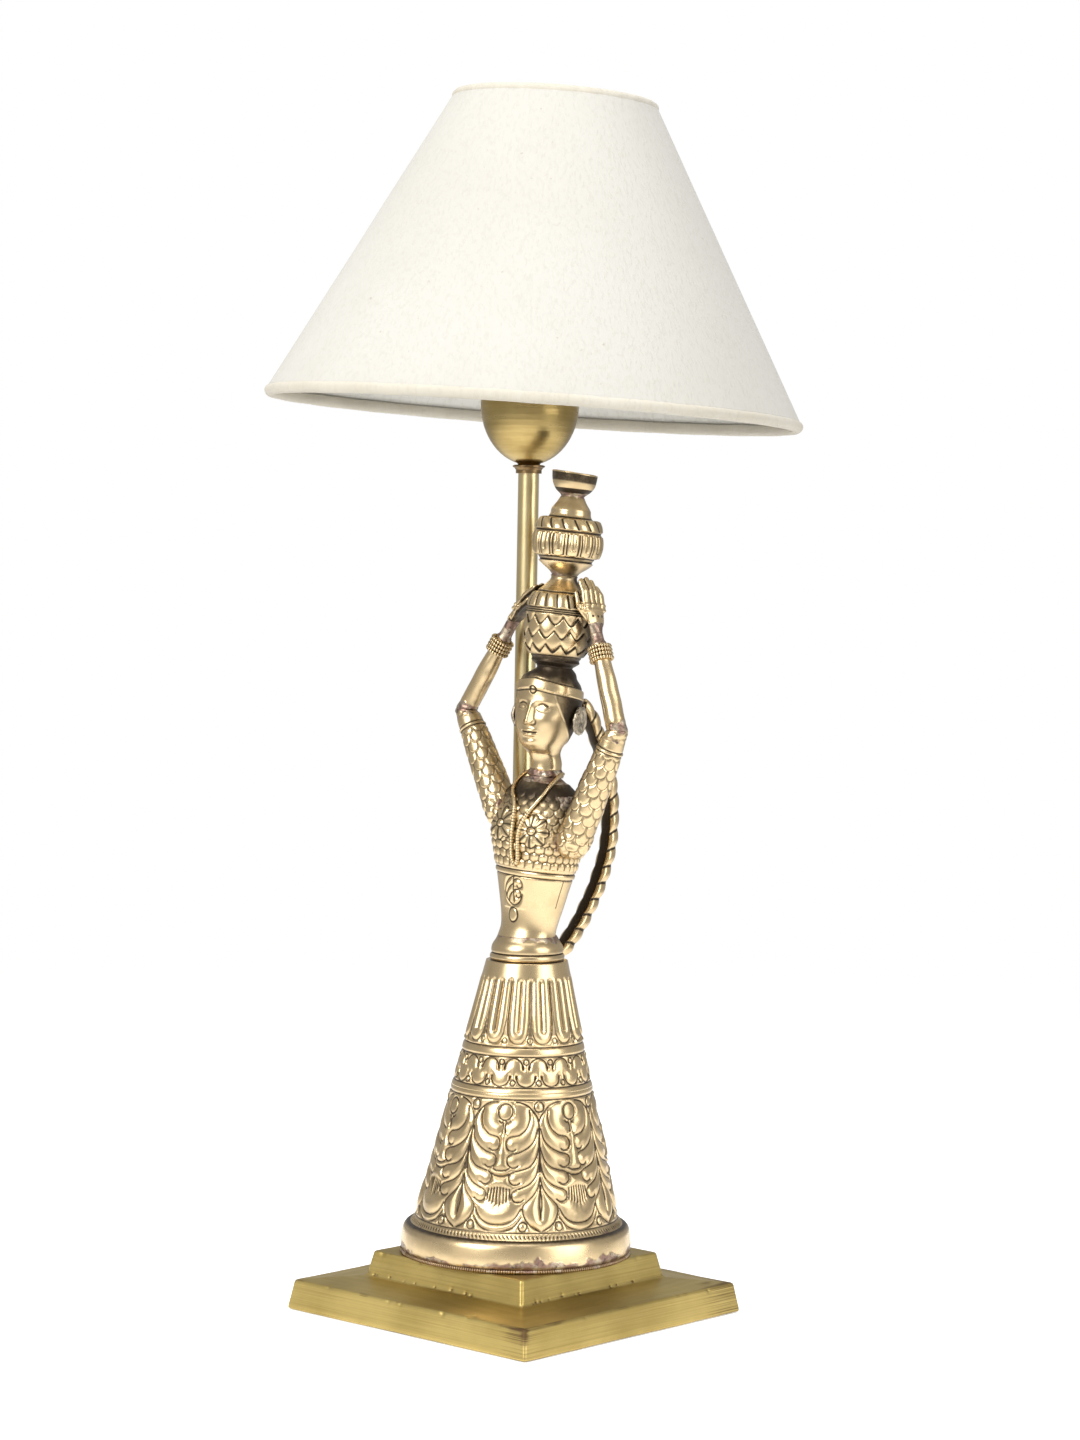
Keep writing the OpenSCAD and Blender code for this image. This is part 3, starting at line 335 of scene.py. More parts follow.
# Satin brass: long fine file marks, browner along edges and in patches
def makeSatinFinish():
    group, given, made = newGroup(
        "satinFinish",
        [
            ("Light", "NodeSocketColor", (0.5, 0.38, 0.13, 1)),
            ("Deep", "NodeSocketColor", (0.27, 0.19, 0.06, 1)),
            ("Brown", "NodeSocketColor", (0.06, 0.035, 0.02, 1)),
            ("Edge", "NodeSocketFloat", 0.0),
            ("Marks", "NodeSocketVector", (1, 1, 1)),
            ("Satin", "NodeSocketFloat", 0.36),
        ],
        [("Colour", "NodeSocketColor"), ("Roughness", "NodeSocketFloat"), ("Height", "NodeSocketFloat")],
    )
    place, edge = objectPlace(group), given.outputs["Edge"]
    stretched = group.nodes.new("ShaderNodeVectorMath")
    stretched.operation = "MULTIPLY"
    group.links.new(place, stretched.inputs[0])
    group.links.new(given.outputs["Marks"], stretched.inputs[1])
    marks = grain(group, stretched.outputs["Vector"], 1.0, 5, 0.6)
    clouds = grain(group, place, 22, 4)
    specks = grain(group, place, 700, 3)
    tone = calc(group, "ADD", calc(group, "MULTIPLY", marks, 0.5), calc(group, "MULTIPLY", clouds, 0.6))
    skin = blendColour(group, spread(group, tone, 0.38, 0.72), given.outputs["Light"], given.outputs["Deep"])
    burnt = spread(group, calc(group, "ADD", edge, sway(group, marks, 1.6)), 0.35, 0.95)
    burnt = calc(group, "MULTIPLY", burnt, spread(group, edge, 0.03, 0.3))
    skin = blendColour(group, burnt, skin, given.outputs["Brown"])
    group.links.new(skin, made.inputs["Colour"])
    rough = calc(group, "ADD", given.outputs["Satin"], sway(group, marks, 0.3))
    rough = calc(group, "ADD", rough, calc(group, "MULTIPLY", burnt, 0.15), clamp=True)
    group.links.new(rough, made.inputs["Roughness"])
    height = calc(group, "ADD", marks, calc(group, "MULTIPLY", specks, 0.25))
    group.links.new(height, made.inputs["Height"])
    return group


agedFinish = makeAgedFinish()
satinFinish = makeSatinFinish()


def newMaterial(name, metal=1.0):
    material = bpy.data.materials.new(name)
    material.use_nodes = True
    shader = material.node_tree.nodes["Principled BSDF"]
    shader.inputs["Metallic"].default_value = metal
    return material, material.node_tree, shader


def addBump(tree, shader, height, depth):
    bump = tree.nodes.new("ShaderNodeBump")
    bump.inputs["Strength"].default_value = 1.0
    bump.inputs["Distance"].default_value = depth
    tree.links.new(height, bump.inputs["Height"])
    tree.links.new(bump.outputs["Normal"], shader.inputs["Normal"])


def readMask(tree, name):
    mask = tree.nodes.new("ShaderNodeAttribute")
    mask.attribute_name = name
    return mask.outputs["Fac"]


# One group placed in a material, with values of its own
def placeGroup(tree, group, values):
    node = tree.nodes.new("ShaderNodeGroup")
    node.node_tree = group
    for key, value in values.items():
        node.inputs[key].default_value = (*value, 1) if isinstance(value, tuple) else value
    return node


def joinFinish(tree, node, shader, bump):
    tree.links.new(node.outputs["Colour"], shader.inputs["Base Color"])
    tree.links.new(node.outputs["Roughness"], shader.inputs["Roughness"])
    addBump(tree, shader, node.outputs["Height"], bump)


def agedBrass(name, bump=0.0002, **values):
    material, tree, shader = newMaterial(name)
    node = placeGroup(tree, agedFinish, values)
    tree.links.new(readMask(tree, "patina"), node.inputs["Patina"])
    tree.links.new(readMask(tree, "solder"), node.inputs["Solder"])
    tree.links.new(node.outputs["Metallic"], shader.inputs["Metallic"])
    joinFinish(tree, node, shader, bump)
    return material


def satinBrass(name, marks, bump=0.00006, edges=True, **values):
    material, tree, shader = newMaterial(name)
    node = placeGroup(tree, satinFinish, values)
    node.inputs["Marks"].default_value = marks
    if edges:
        tree.links.new(readMask(tree, "edge"), node.inputs["Edge"])
    joinFinish(tree, node, shader, bump)
    return material


# Plain finishes: turned brass, plated steel, moulded plastic, glaze, rubber and glass, each a little uneven
def plainFinish(name, first, second, rough, metal=0.0, scale=60, bump=0.00003, coat=0.0):
    material, tree, shader = newMaterial(name, metal)
    place = objectPlace(tree)
    cloud = grain(tree, place, scale, 4)
    fleck = grain(tree, place, scale * 12, 3)
    skin = blendColour(tree, spread(tree, cloud, 0.35, 0.68), first, second)
    tree.links.new(skin, shader.inputs["Base Color"])
    tree.links.new(spread(tree, fleck, 0.3, 0.7, rough - 0.04, rough + 0.08), shader.inputs["Roughness"])
    shader.inputs["Coat Weight"].default_value = coat
    addBump(tree, shader, fleck, bump)
    return material


# Linen: a plain weave of uneven threads, with slubs along the slant of the shade
linenMarks = {
    "weave": (1500, 1500, 1900),
    "slubs": (620, 620, 45),
    "slubTone": (0.38, 0.355, 0.29),
    "slubShare": 0.22,
    "speckTone": (0.3, 0.25, 0.17),
    "speckShare": 0.5,
    "wornTone": (0.5, 0.42, 0.3),
    "wornShare": 0.25,
    "rough": 0.88,
    "sheen": 0.12,
    "depth": 0.00008,
}


def makeLinen(name, light, deep, glow, edges=False):
    m = linenMarks
    material, tree, shader = newMaterial(name, 0.0)
    place = objectPlace(tree)
    weave = grain(tree, place, 1.0, 3, 0.6, m["weave"])
    slubs = spread(tree, grain(tree, place, 1.0, 4, 0.6, m["slubs"]), 0.46, 0.72)
    specks = spread(tree, grain(tree, place, 260, 2), 0.73, 0.78)
    clouds = grain(tree, place, 9, 3)
    skin = blendColour(tree, spread(tree, clouds, 0.3, 0.7), light, deep)
    skin = blendColour(tree, calc(tree, "MULTIPLY", slubs, m["slubShare"]), skin, m["slubTone"])
    skin = blendColour(tree, calc(tree, "MULTIPLY", specks, m["speckShare"]), skin, m["speckTone"])
    if edges:
        wornAndShade = spread(tree, readMask(tree, "edge"), 0.3, 0.95)
        skin = blendColour(tree, calc(tree, "MULTIPLY", wornAndShade, m["wornShare"]), skin, m["wornTone"])
    tree.links.new(skin, shader.inputs["Base Color"])
    shader.inputs["Roughness"].default_value = m["rough"]
    shader.inputs["Sheen Weight"].default_value = m["sheen"]
    # Painted light: the cloth glows a little in its own colour, as much as glow
    tree.links.new(skin, shader.inputs["Emission Color"])
    shader.inputs["Emission Strength"].default_value = glow
    addBump(tree, shader, calc(tree, "ADD", weave, calc(tree, "MULTIPLY", slubs, 1.2)), m["depth"])
    return material


materials = {
    "figureBrass": agedBrass(
        "figureBrass", Bright=(0.7, 0.535, 0.305), Worn=(0.43, 0.315, 0.165), Tarnish=0.5, Polish=0.27
    ),
    "coppery": agedBrass(
        "coppery", Bright=(0.36, 0.24, 0.13), Worn=(0.2, 0.13, 0.08), Tarnish=0.8, Polish=0.3
    ),
    "paleSolder": agedBrass(
        "paleSolder", bump=0.0005, Bright=(0.6, 0.56, 0.46), Worn=(0.4, 0.35, 0.26),
        Copper=(0.42, 0.36, 0.27), Polish=0.3,
    ),
    "baseBrass": satinBrass(
        "baseBrass", (11, 11, 1500), Satin=0.44, Light=(0.56, 0.43, 0.155), Deep=(0.38, 0.28, 0.09),
        Brown=(0.12, 0.075, 0.035),
    ),
    "poleBrass": satinBrass(
        "poleBrass", (900, 900, 9), Satin=0.3, edges=False, Light=(0.76, 0.62, 0.35), Deep=(0.55, 0.44, 0.22)
    ),
    "cupBrass": satinBrass(
        "cupBrass", (30, 30, 240), Satin=0.3, edges=False, Light=(0.5, 0.37, 0.15), Deep=(0.34, 0.24, 0.085)
    ),
    "collarBrass": satinBrass(
        "collarBrass", (300, 300, 500), Satin=0.35, edges=False, Light=(0.3, 0.2, 0.09),
        Deep=(0.1, 0.06, 0.035),
    ),
    "plainBrass": plainFinish("plainBrass", (0.55, 0.41, 0.17), (0.42, 0.3, 0.12), 0.3, 1.0),
    "steel": plainFinish("steel", (0.58, 0.58, 0.56), (0.45, 0.45, 0.44), 0.32, 1.0),
    "bakelite": plainFinish("bakelite", (0.02, 0.017, 0.015), (0.035, 0.03, 0.026), 0.35, coat=0.2),
    "ceramic": plainFinish("ceramic", (0.8, 0.79, 0.73), (0.74, 0.72, 0.66), 0.18, coat=0.4),
    "leadSheath": plainFinish("leadSheath", (0.72, 0.7, 0.63), (0.64, 0.61, 0.54), 0.5),
    "opalGlass": plainFinish("opalGlass", (0.93, 0.92, 0.88), (0.9, 0.89, 0.84), 0.16, coat=0.5),
    "felt": plainFinish("felt", (0.05, 0.047, 0.04), (0.09, 0.083, 0.07), 0.9, scale=400, bump=0.0004),
    "linen": makeLinen("linen", (0.495, 0.48, 0.44), (0.465, 0.449, 0.405), 0.05),
    "hemLinen": makeLinen("hemLinen", (0.54, 0.51, 0.44), (0.48, 0.44, 0.36), 0.02, edges=True),
    "liningCloth": makeLinen("liningCloth", (0.72, 0.71, 0.67), (0.68, 0.67, 0.63), 0.03),
}
print("finishes made:", len(materials))


# Tools for modelling
def deselectAll():
    if bpy.context.object and bpy.context.object.mode != "OBJECT":
        bpy.ops.object.mode_set(mode="OBJECT")
    bpy.ops.object.select_all(action="DESELECT")


def pick(*objects):
    deselectAll()
    for o in objects:
        o.select_set(True)
    bpy.context.view_layer.objects.active = objects[0]


def applyModifiers(piece):
    pick(piece)
    for modifier in list(piece.modifiers):
        bpy.ops.object.modifier_apply(modifier=modifier.name)


def readPoints(piece):
    points = np.zeros(len(piece.data.vertices) * 3)
    piece.data.vertices.foreach_get("co", points)
    return points.reshape(-1, 3)


def readNormals(piece):
    normals = np.zeros(len(piece.data.vertices) * 3)
    piece.data.vertices.foreach_get("normal", normals)
    return normals.reshape(-1, 3)


def writePoints(piece, points):
    piece.data.vertices.foreach_set("co", points.ravel())
    piece.data.update()


def writeMask(piece, name, values):
    mask = piece.data.attributes.get(name) or piece.data.attributes.new(name, "FLOAT", "POINT")
    mask.data.foreach_set("value", np.clip(values, 0, 1).astype(np.float32))


# How far each point lies under the surface around it: the hollows where patina stays
def hollows(piece, rounds=14, deepest=0.25):
    points, normals = readPoints(piece), readNormals(piece)
    edges = np.zeros(len(piece.data.edges) * 2, np.int64)
    piece.data.edges.foreach_get("vertices", edges)
    a, b = edges.reshape(-1, 2).T
    count = len(points)
    shares = np.maximum(np.bincount(np.concatenate([a, b]), minlength=count), 1)[:, None]
    soft = points.copy()
    for _ in range(rounds):
        near = [
            np.bincount(a, weights=soft[b, k], minlength=count)
            + np.bincount(b, weights=soft[a, k], minlength=count)
            for k in range(3)
        ]
        soft = 0.5 * soft + 0.5 * np.stack(near, 1) / shares
    return np.clip(((soft - points) * normals).sum(1) / deepest, 0, 1)


def finish(piece, body, material, place, stands=(), smooth=True):
    piece.data.transform(place @ piece.matrix_world)
    piece.matrix_world = Matrix.Identity(4)
    if smooth:
        piece.data.polygons.foreach_set("use_smooth", [True] * len(piece.data.polygons))
    piece.data.materials.clear()
    piece.data.materials.append(material)
    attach(piece, body)
    if stands:
        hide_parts(*stands)
    return piece


def finishOldBrass(piece, place, stands):
    return finish(piece, "stand", materials["figureBrass"], place, stands)


def newMesh(name, points, edges=(), faces=()):
    mesh = bpy.data.meshes.new(name)
    mesh.from_pydata([tuple(p) for p in points], list(edges), list(faces))
    piece = bpy.data.objects.new(name, mesh)
    bpy.context.scene.collection.objects.link(piece)
    return piece


# Rings of points joined into one skin: as a closed loop, or with a cap over the first and the last ring
def wrapRings(name, rings, closed=False):
    rows, sides = rings.shape[:2]
    last = rows if closed else rows - 1
    j, k = (grid.ravel() for grid in np.meshgrid(np.arange(last), np.arange(sides), indexing="ij"))
    a, b = j * sides + k, j * sides + (k + 1) % sides
    c, d = (j + 1) % rows * sides + (k + 1) % sides, (j + 1) % rows * sides + k
    faces = np.stack([a, b, c, d], 1).tolist()
    points = rings.reshape(-1, 3)
    if not closed:
        points = np.vstack([points, rings[0].mean(0), rings[-1].mean(0)])
        first, top = rows * sides, (rows - 1) * sides
        faces += [[first, (n + 1) % sides, n] for n in range(sides)]
        faces += [[first + 1, top + n, top + (n + 1) % sides] for n in range(sides)]
    return newMesh(name, points, (), faces)


# Points along a line of corners, no further apart than the spacing
def fine(corners, spacing):
    points = [corners[0]]
    for p, q in zip(corners, corners[1:]):
        steps = max(1, int(math.ceil(math.dist(p, q) / spacing)))
        points += [tuple(a + (b - a) * k / steps for a, b in zip(p, q)) for k in range(1, steps + 1)]
    return points


# A section of [radius, height] corners spun round the upright axis
def spin(name, section, steps, closed=False):
    count = len(section)
    edges = [(k, k + 1) for k in range(count - 1)] + ([(count - 1, 0)] if closed else [])
    piece = newMesh(name, [(r, 0, z) for r, z in section], edges)
    pick(piece)
    bpy.ops.object.mode_set(mode="EDIT")
    bpy.ops.mesh.select_all(action="SELECT")
    bpy.ops.mesh.spin(steps=steps, angle=2 * math.pi, center=(0, 0, 0), axis=(0, 0, 1))
    bpy.ops.mesh.select_all(action="SELECT")
    bpy.ops.mesh.remove_doubles(threshold=0.0004)
    bpy.ops.mesh.normals_make_consistent(inside=False)
    bpy.ops.object.mode_set(mode="OBJECT")
    return piece


# Distance from each point to the nearest of the drawn lines, on a flat drawing
def toLines(across, up, lines):
    found = np.full(len(across), 1e9)
    for line in lines:
        for (ax, ay), (bx, by) in zip(line, line[1:]):
            dx, dy = bx - ax, by - ay
            along = np.clip(((across - ax) * dx + (up - ay) * dy) / max(dx * dx + dy * dy, 1e-12), 0, 1)
            found = np.minimum(found, (across - ax - along * dx) ** 2 + (up - ay - along * dy) ** 2)
    return np.sqrt(found)


# The smooth way from q to r, where p comes before them and s after
def smoothWay(t, p, q, r, s):
    return 0.5 * (2 * q + (r - p) * t + (2 * p - 5 * q + 4 * r - s) * t * t + (3 * q - p - 3 * r + s) * t**3)


# A smooth line through corners, with some steps from each to the next
def curve(corners, steps=6):
    points = []
    for i in range(len(corners) - 1):
        around = [corners[min(max(i + k, 0), len(corners) - 1)] for k in (-1, 0, 1, 2)]
        points += [tuple(smoothWay(k / steps, *four) for four in zip(*around)) for k in range(steps)]
    return points + [tuple(corners[-1])]


# Nearly 1 on a line or spot, and fading to 0 beyond the width
def closeTo(distance, width=0.34):
    return np.exp(-((distance / width) ** 2))


def smoothStep(value, low, high):
    t = np.clip((value - low) / (high - low), 0, 1)
    return t * t * (3 - 2 * t)


# 1 between the two inner values, fading to 0 at the two outer ones
def within(value, outerLow, low, high, outerHigh):
    return smoothStep(value, outerLow, low) * (1 - smoothStep(value, high, outerHigh))


# Sheet pressed from behind: it swells between the chased lines and sinks along them
def pressed(distance, swell, reach, depth=0.3, width=0.45):
    return swell * (1 - np.exp(-distance / reach)) - depth * closeTo(distance, width)


# Waves that differ from place to place, for hand-made unevenness
def uneven(points, size, seed):
    random = np.random.default_rng(seed)
    total = np.zeros(len(points))
    for _ in range(9):
        direction = random.normal(size=3)
        direction *= random.uniform(0.6, 1.6) / (np.linalg.norm(direction) * size)
        total += np.sin(points @ direction * 2 * math.pi + random.uniform(0, 2 * math.pi))
    return total / 9


# The skirt: a cone of sheet brass pressed with leaves, scallops and tongues, bent a little to one side
skirt = {
    "footRadius": 47.8,
    "waistRadius": 18.9,
    "coneFoot": 48.1,
    "bottom": 42.6,
    "top": 167.2,
    "bandFoot": 46.4,
    "lowerRing": (105.8, 111.0),
    "upperRing": (125.0, 129.3),
    "ringRise": 0.55,
    "sheet": 1.5,
    "sides": 600,
    "spacing": 0.46,
    "join": 108.4,  # where the lower of its two pieces meets the upper, under the lower ring's crown
    "leafCount": 7,
    "leafTurn": 13.9,
    "scallopCount": 16,
    "scallopTurn": 3.0,
    "lobe": [(1.0, 0.55), (0.75, 0.85), (0.47, 1.9), (0.3, 3.6), (0.24, 5.4)],
    "tongueCount": 14,
    "tongueTurn": -6.6,
    "tongueWidth": ([3, 7, 13, 38], [0.78, 0.82, 0.93, 0.95]),  # height over the ring, share of its room
    "notches": 160,
    "bend": (-1.5, 1.3),  # how far foot and waist stand to the camera's right of the figure's place
    "line": 0.36,
}


def coneRadius(z):
    s = skirt
    drop = (s["waistRadius"] - s["footRadius"]) * (z - s["coneFoot"])
    return s["footRadius"] + drop / (s["top"] - s["coneFoot"])


def bendSkirt(points):
    s = skirt
    low, high = s["bend"]
    share = (points[:, 2] - s["bottom"]) / (s["top"] - s["bottom"])
    aside = low + (high - low) * np.clip(share, -0.1, 1.0)
    points[:, :2] += np.outer(aside, [math.cos(leanSide), math.sin(leanSide)])


# Folds the angle into half of one repeat: 0 in the middle and 1 between two repeats
def repeat(angle, count, turn, shift=0.0):
    step = 2 * math.pi / count
    at = angle - facing - math.radians(turn) + step * shift + step / 2
    return np.abs(at % step - step / 2) / (step / 2)


# Half of one leaf pattern: across from sheaf (0) to stalk (1), and down from ring (0) to foot (1)
leaf = {
    "curves": [
        # steps from corner to corner, corners
        (6, [(1.0, 0.17), (0.95, 0.13), (0.84, 0.09), (0.67, 0.045), (0.45, 0.022), (0.3, 0.018)]),
        (6, [(0.71, 0.075), (0.73, 0.145), (0.64, 0.215), (0.46, 0.262), (0.33, 0.274)]),
        (4, [
            (0.3, 0.276), (0.17, 0.285), (0.1, 0.31), (0.09, 0.345), (0.15, 0.378), (0.28, 0.388),
            (0.36, 0.374),
        ]),
        (6, [(0.96, 0.215), (0.87, 0.3), (0.69, 0.358), (0.46, 0.395), (0.3, 0.408)]),
        (4, [
            (0.27, 0.41), (0.18, 0.425), (0.145, 0.452), (0.17, 0.487), (0.26, 0.51), (0.36, 0.512),
            (0.44, 0.496),
        ]),
        (6, [(0.98, 0.36), (0.88, 0.45), (0.72, 0.505), (0.5, 0.53), (0.36, 0.54)]),
        (4, [
            (0.33, 0.543), (0.25, 0.56), (0.215, 0.587), (0.24, 0.617), (0.33, 0.64), (0.42, 0.64),
            (0.5, 0.625),
        ]),
        (6, [(0.99, 0.47), (0.9, 0.57), (0.74, 0.63), (0.56, 0.66), (0.46, 0.672)]),
        (4, [
            (0.43, 0.675), (0.34, 0.695), (0.31, 0.72), (0.34, 0.752), (0.42, 0.77), (0.52, 0.768),
            (0.6, 0.75),
        ]),
        (5, [
            (1.0, 0.58), (0.94, 0.66), (0.82, 0.72), (0.68, 0.765), (0.58, 0.81), (0.62, 0.88),
            (0.76, 0.945), (1.0, 0.995),
        ]),
        (5, [(0.0, 0.942), (0.2, 0.934), (0.4, 0.895), (0.54, 0.82)]),
        (5, [(0.0, 0.995), (0.22, 0.985), (0.4, 0.952), (0.55, 0.885)]),
        (3, [(0.0, 0.538), (0.12, 0.534), (0.21, 0.518)]),
        (3, [(0.0, 0.578), (0.13, 0.574), (0.22, 0.56)]),
        (3, [(0.05, 0.17), (0.1, 0.178), (0.17, 0.163)]),
        (3, [(0.045, 0.18), (0.03, 0.21), (0.05, 0.25)]),
    ],
    "straight": [
        [(1.0, 0.17), (0.992, 0.3), (0.985, 0.42), (0.98, 0.54)],
        [(1.0, 0.64), (0.975, 0.74), (0.97, 0.8), (1.0, 0.9)],
    ],
    "blades": 4,
    "discs": [(0.0, 0.095, 3.4), (1.0, 0.05, 2.2), (0.59, 0.955, 1.9)],  # across, down, radius
    "stem": ([0.15, 0.2, 0.35, 0.5, 0.56], [0.9, 0.9, 1.7, 3.6, 4.4]),  # down, half its width
}


def leafLines():
    lines = leaf["straight"] + [curve(corners, steps) for steps, corners in leaf["curves"]]
    for k in range(leaf["blades"]):
        lines.append([(0.04 + 0.07 * k, 0.66 + 0.004 * k), (0.045 + 0.078 * k, 0.79 - 0.012 * k)])
    return lines


def leafRelief(angle, z):
    s = skirt
    top, foot = s["lowerRing"][0], s["bandFoot"]
    half = math.pi / s["leafCount"]
    height = top - foot
    fold = repeat(angle, s["leafCount"], s["leafTurn"], 0.5)
    down = (top - z) / height
    across, up = fold * half * coneRadius(z), -down * height

    def laid(x, y):
        return (x * half * coneRadius(top - y * height), -y * height)

    distance = toLines(across, up, [[laid(x, y) for x, y in line] for line in leafLines()])
    relief = pressed(distance, 1.25, 2.3, 0.42, s["line"])
    dark = closeTo(distance, 0.4)
    for x, y, radius in leaf["discs"]:
        discAcross, discUp = laid(x, y)
        centre = np.hypot(across - discAcross, (up - discUp) * 0.92)
        line = np.abs(centre - radius)
        relief = np.where(centre < radius + 0.9, 0.4 + 0.6 * closeTo(centre, radius), relief)
        relief -= 0.45 * closeTo(line, s["line"])
        dark = np.maximum(dark, closeTo(line, 0.4))
    stem = np.interp(down, *leaf["stem"])
    body = np.exp(-((across / stem) ** 4)) * smoothStep(down, 0.16, 0.22) * (1 - smoothStep(down, 0.54, 0.58))
    sheaf = closeTo(across, 6.5) * smoothStep(down, 0.56, 0.64) * (1 - smoothStep(down, 0.74, 0.86))
    blade = smoothStep(down, 0.62, 0.82) * closeTo(fold - 0.82, 0.16) * (1 - smoothStep(down, 0.9, 1.0))
    relief += 0.7 * body + 0.5 * sheaf + 0.35 * blade
    rim = within(z, foot, foot + 0.9, top - 0.9, top)
    return (relief - 0.35) * rim, dark * rim


def scallopRelief(angle, z):
    s = skirt
    low, high = s["lowerRing"][1], s["upperRing"][0]
    half = math.pi / s["scallopCount"]
    relief, dark = np.full(len(z), 0.2), np.zeros(len(z))
    distance = np.full(len(z), 9.0)
    for shift, start, sign in ((0.0, high, -1), (0.5, low, 1)):
        fold = repeat(angle, s["scallopCount"], s["scallopTurn"], shift)
        up = (z - start) * sign
        across = fold * half * coneRadius(z)
        reach = half * coneRadius(start + sign * 2.5)
        lobe = [(x * reach, y) for x, y in s["lobe"]]
        distance = np.minimum(distance, toLines(across, up, [curve(lobe, 4)]))
        tick = toLines(across, up, [[lobe[-1], (0.26 * reach, 4.2)]])
        relief -= 0.5 * closeTo(tick, 0.55)
        dark = np.maximum(dark, closeTo(tick, 0.5))
        dot = np.hypot(across, up - 2.3)
        line = np.abs(dot - 1.25)
        relief += 0.25 * closeTo(dot, 1.1) - 0.4 * closeTo(line, s["line"])
        dark = np.maximum(dark, closeTo(line, 0.38))
    relief += pressed(distance, 0.95, 2.0, 0.4, s["line"])
    dark = np.maximum(dark, closeTo(distance, 0.42))
    rim = within(z, low, low + 0.8, high - 0.8, high)
    return (relief - 0.4) * rim, dark * rim


def tongueRelief(angle, z):
    s = skirt
    low, high = s["upperRing"][1], s["top"]
    half = math.pi / s["tongueCount"]
    fold = repeat(angle, s["tongueCount"], s["tongueTurn"])
    across = fold * half * coneRadius(z)

    def edge(up):
        return half * coneRadius(low + up) * np.interp(up, *s["tongueWidth"])

    side = [(edge(up), low + up) for up in np.arange(6.5, high - low - 6.5, 1.5)]
    bottom = [
        (0.0, low + 1.6), (0.42 * edge(6), low + 2.0), (0.8 * edge(6), low + 3.9), (edge(6.5), low + 6.5),
    ]
    outline = toLines(across, z, [curve(bottom, 5), side])
    middle = toLines(across, z, [[(0.0, low + 7.5), (0.0, high - 8.0)]])
    relief = 0.95 * (1 - closeTo(np.minimum(outline, middle), 1.15)) - 0.35 * closeTo(outline, 0.36)
    relief -= 0.3 * closeTo(middle, 0.42)
    dark = np.maximum(closeTo(outline, 0.4), closeTo(middle, 0.42))
    beyond = across > np.interp(z - low, *s["tongueWidth"]) * half * coneRadius(z)
    niche = beyond & (z < low + 13)
    relief = np.where(beyond, 0.1, relief)
    dot = np.hypot(across - half * coneRadius(low + 3.0), z - low - 3.0)
    line = np.abs(dot - 1.3)
    relief = np.where(niche & (dot < 1.6), 0.35, relief) - 0.35 * closeTo(line, s["line"])
    dark = np.maximum(dark, closeTo(line, 0.4))
    dark = np.where(niche & (z > low + 5.0), np.maximum(dark, 0.7), dark)
    fade = 1 - smoothStep(z, high - 9.0, high - 5.5)
    rim = smoothStep(z, low, low + 0.8)
    return (relief * fade + 0.75 * (1 - fade)) * rim, 0.8 * dark * rim * fade


def skirtRelief(angle, z):
    s = skirt
    relief, dark = np.zeros(len(z)), np.zeros(len(z))
    for low, high, band in (
        (s["bandFoot"], s["lowerRing"][0], leafRelief),
        (s["lowerRing"][1], s["upperRing"][0], scallopRelief),
        (s["upperRing"][1], s["top"], tongueRelief),
    ):
        here = (z > low) & (z < high)
        relief[here], dark[here] = band(angle[here], z[here])
    for low, high in (s["lowerRing"], s["upperRing"]):
        for edge in (low, high):
            line = closeTo(z - edge, 0.42)
            relief -= 0.4 * line
            dark = np.maximum(dark, 0.95 * line)
        inside = (z > low) & (z < high)
        crown = 1 - ((z - (low + high) / 2) / ((high - low) / 2)) ** 2
        relief = np.where(inside, relief + s["ringRise"] * np.sqrt(np.clip(crown, 0, 1)), relief)
    lean = np.where(np.cos(angle - facing + 1.3) > 0, 1.0, 0.2)
    notch = 0.5 + 0.5 * np.cos(angle * s["notches"] + (z - 44) * 1.6 * lean)
    hatched = closeTo(z - 44.4, 1.0)
    relief -= 0.5 * hatched * notch**2
    dark = np.maximum(dark, hatched * notch**1.5)
    lip = closeTo(z - 46.3, 0.4)
    return relief - 0.25 * lip, np.maximum(dark, 0.85 * lip)


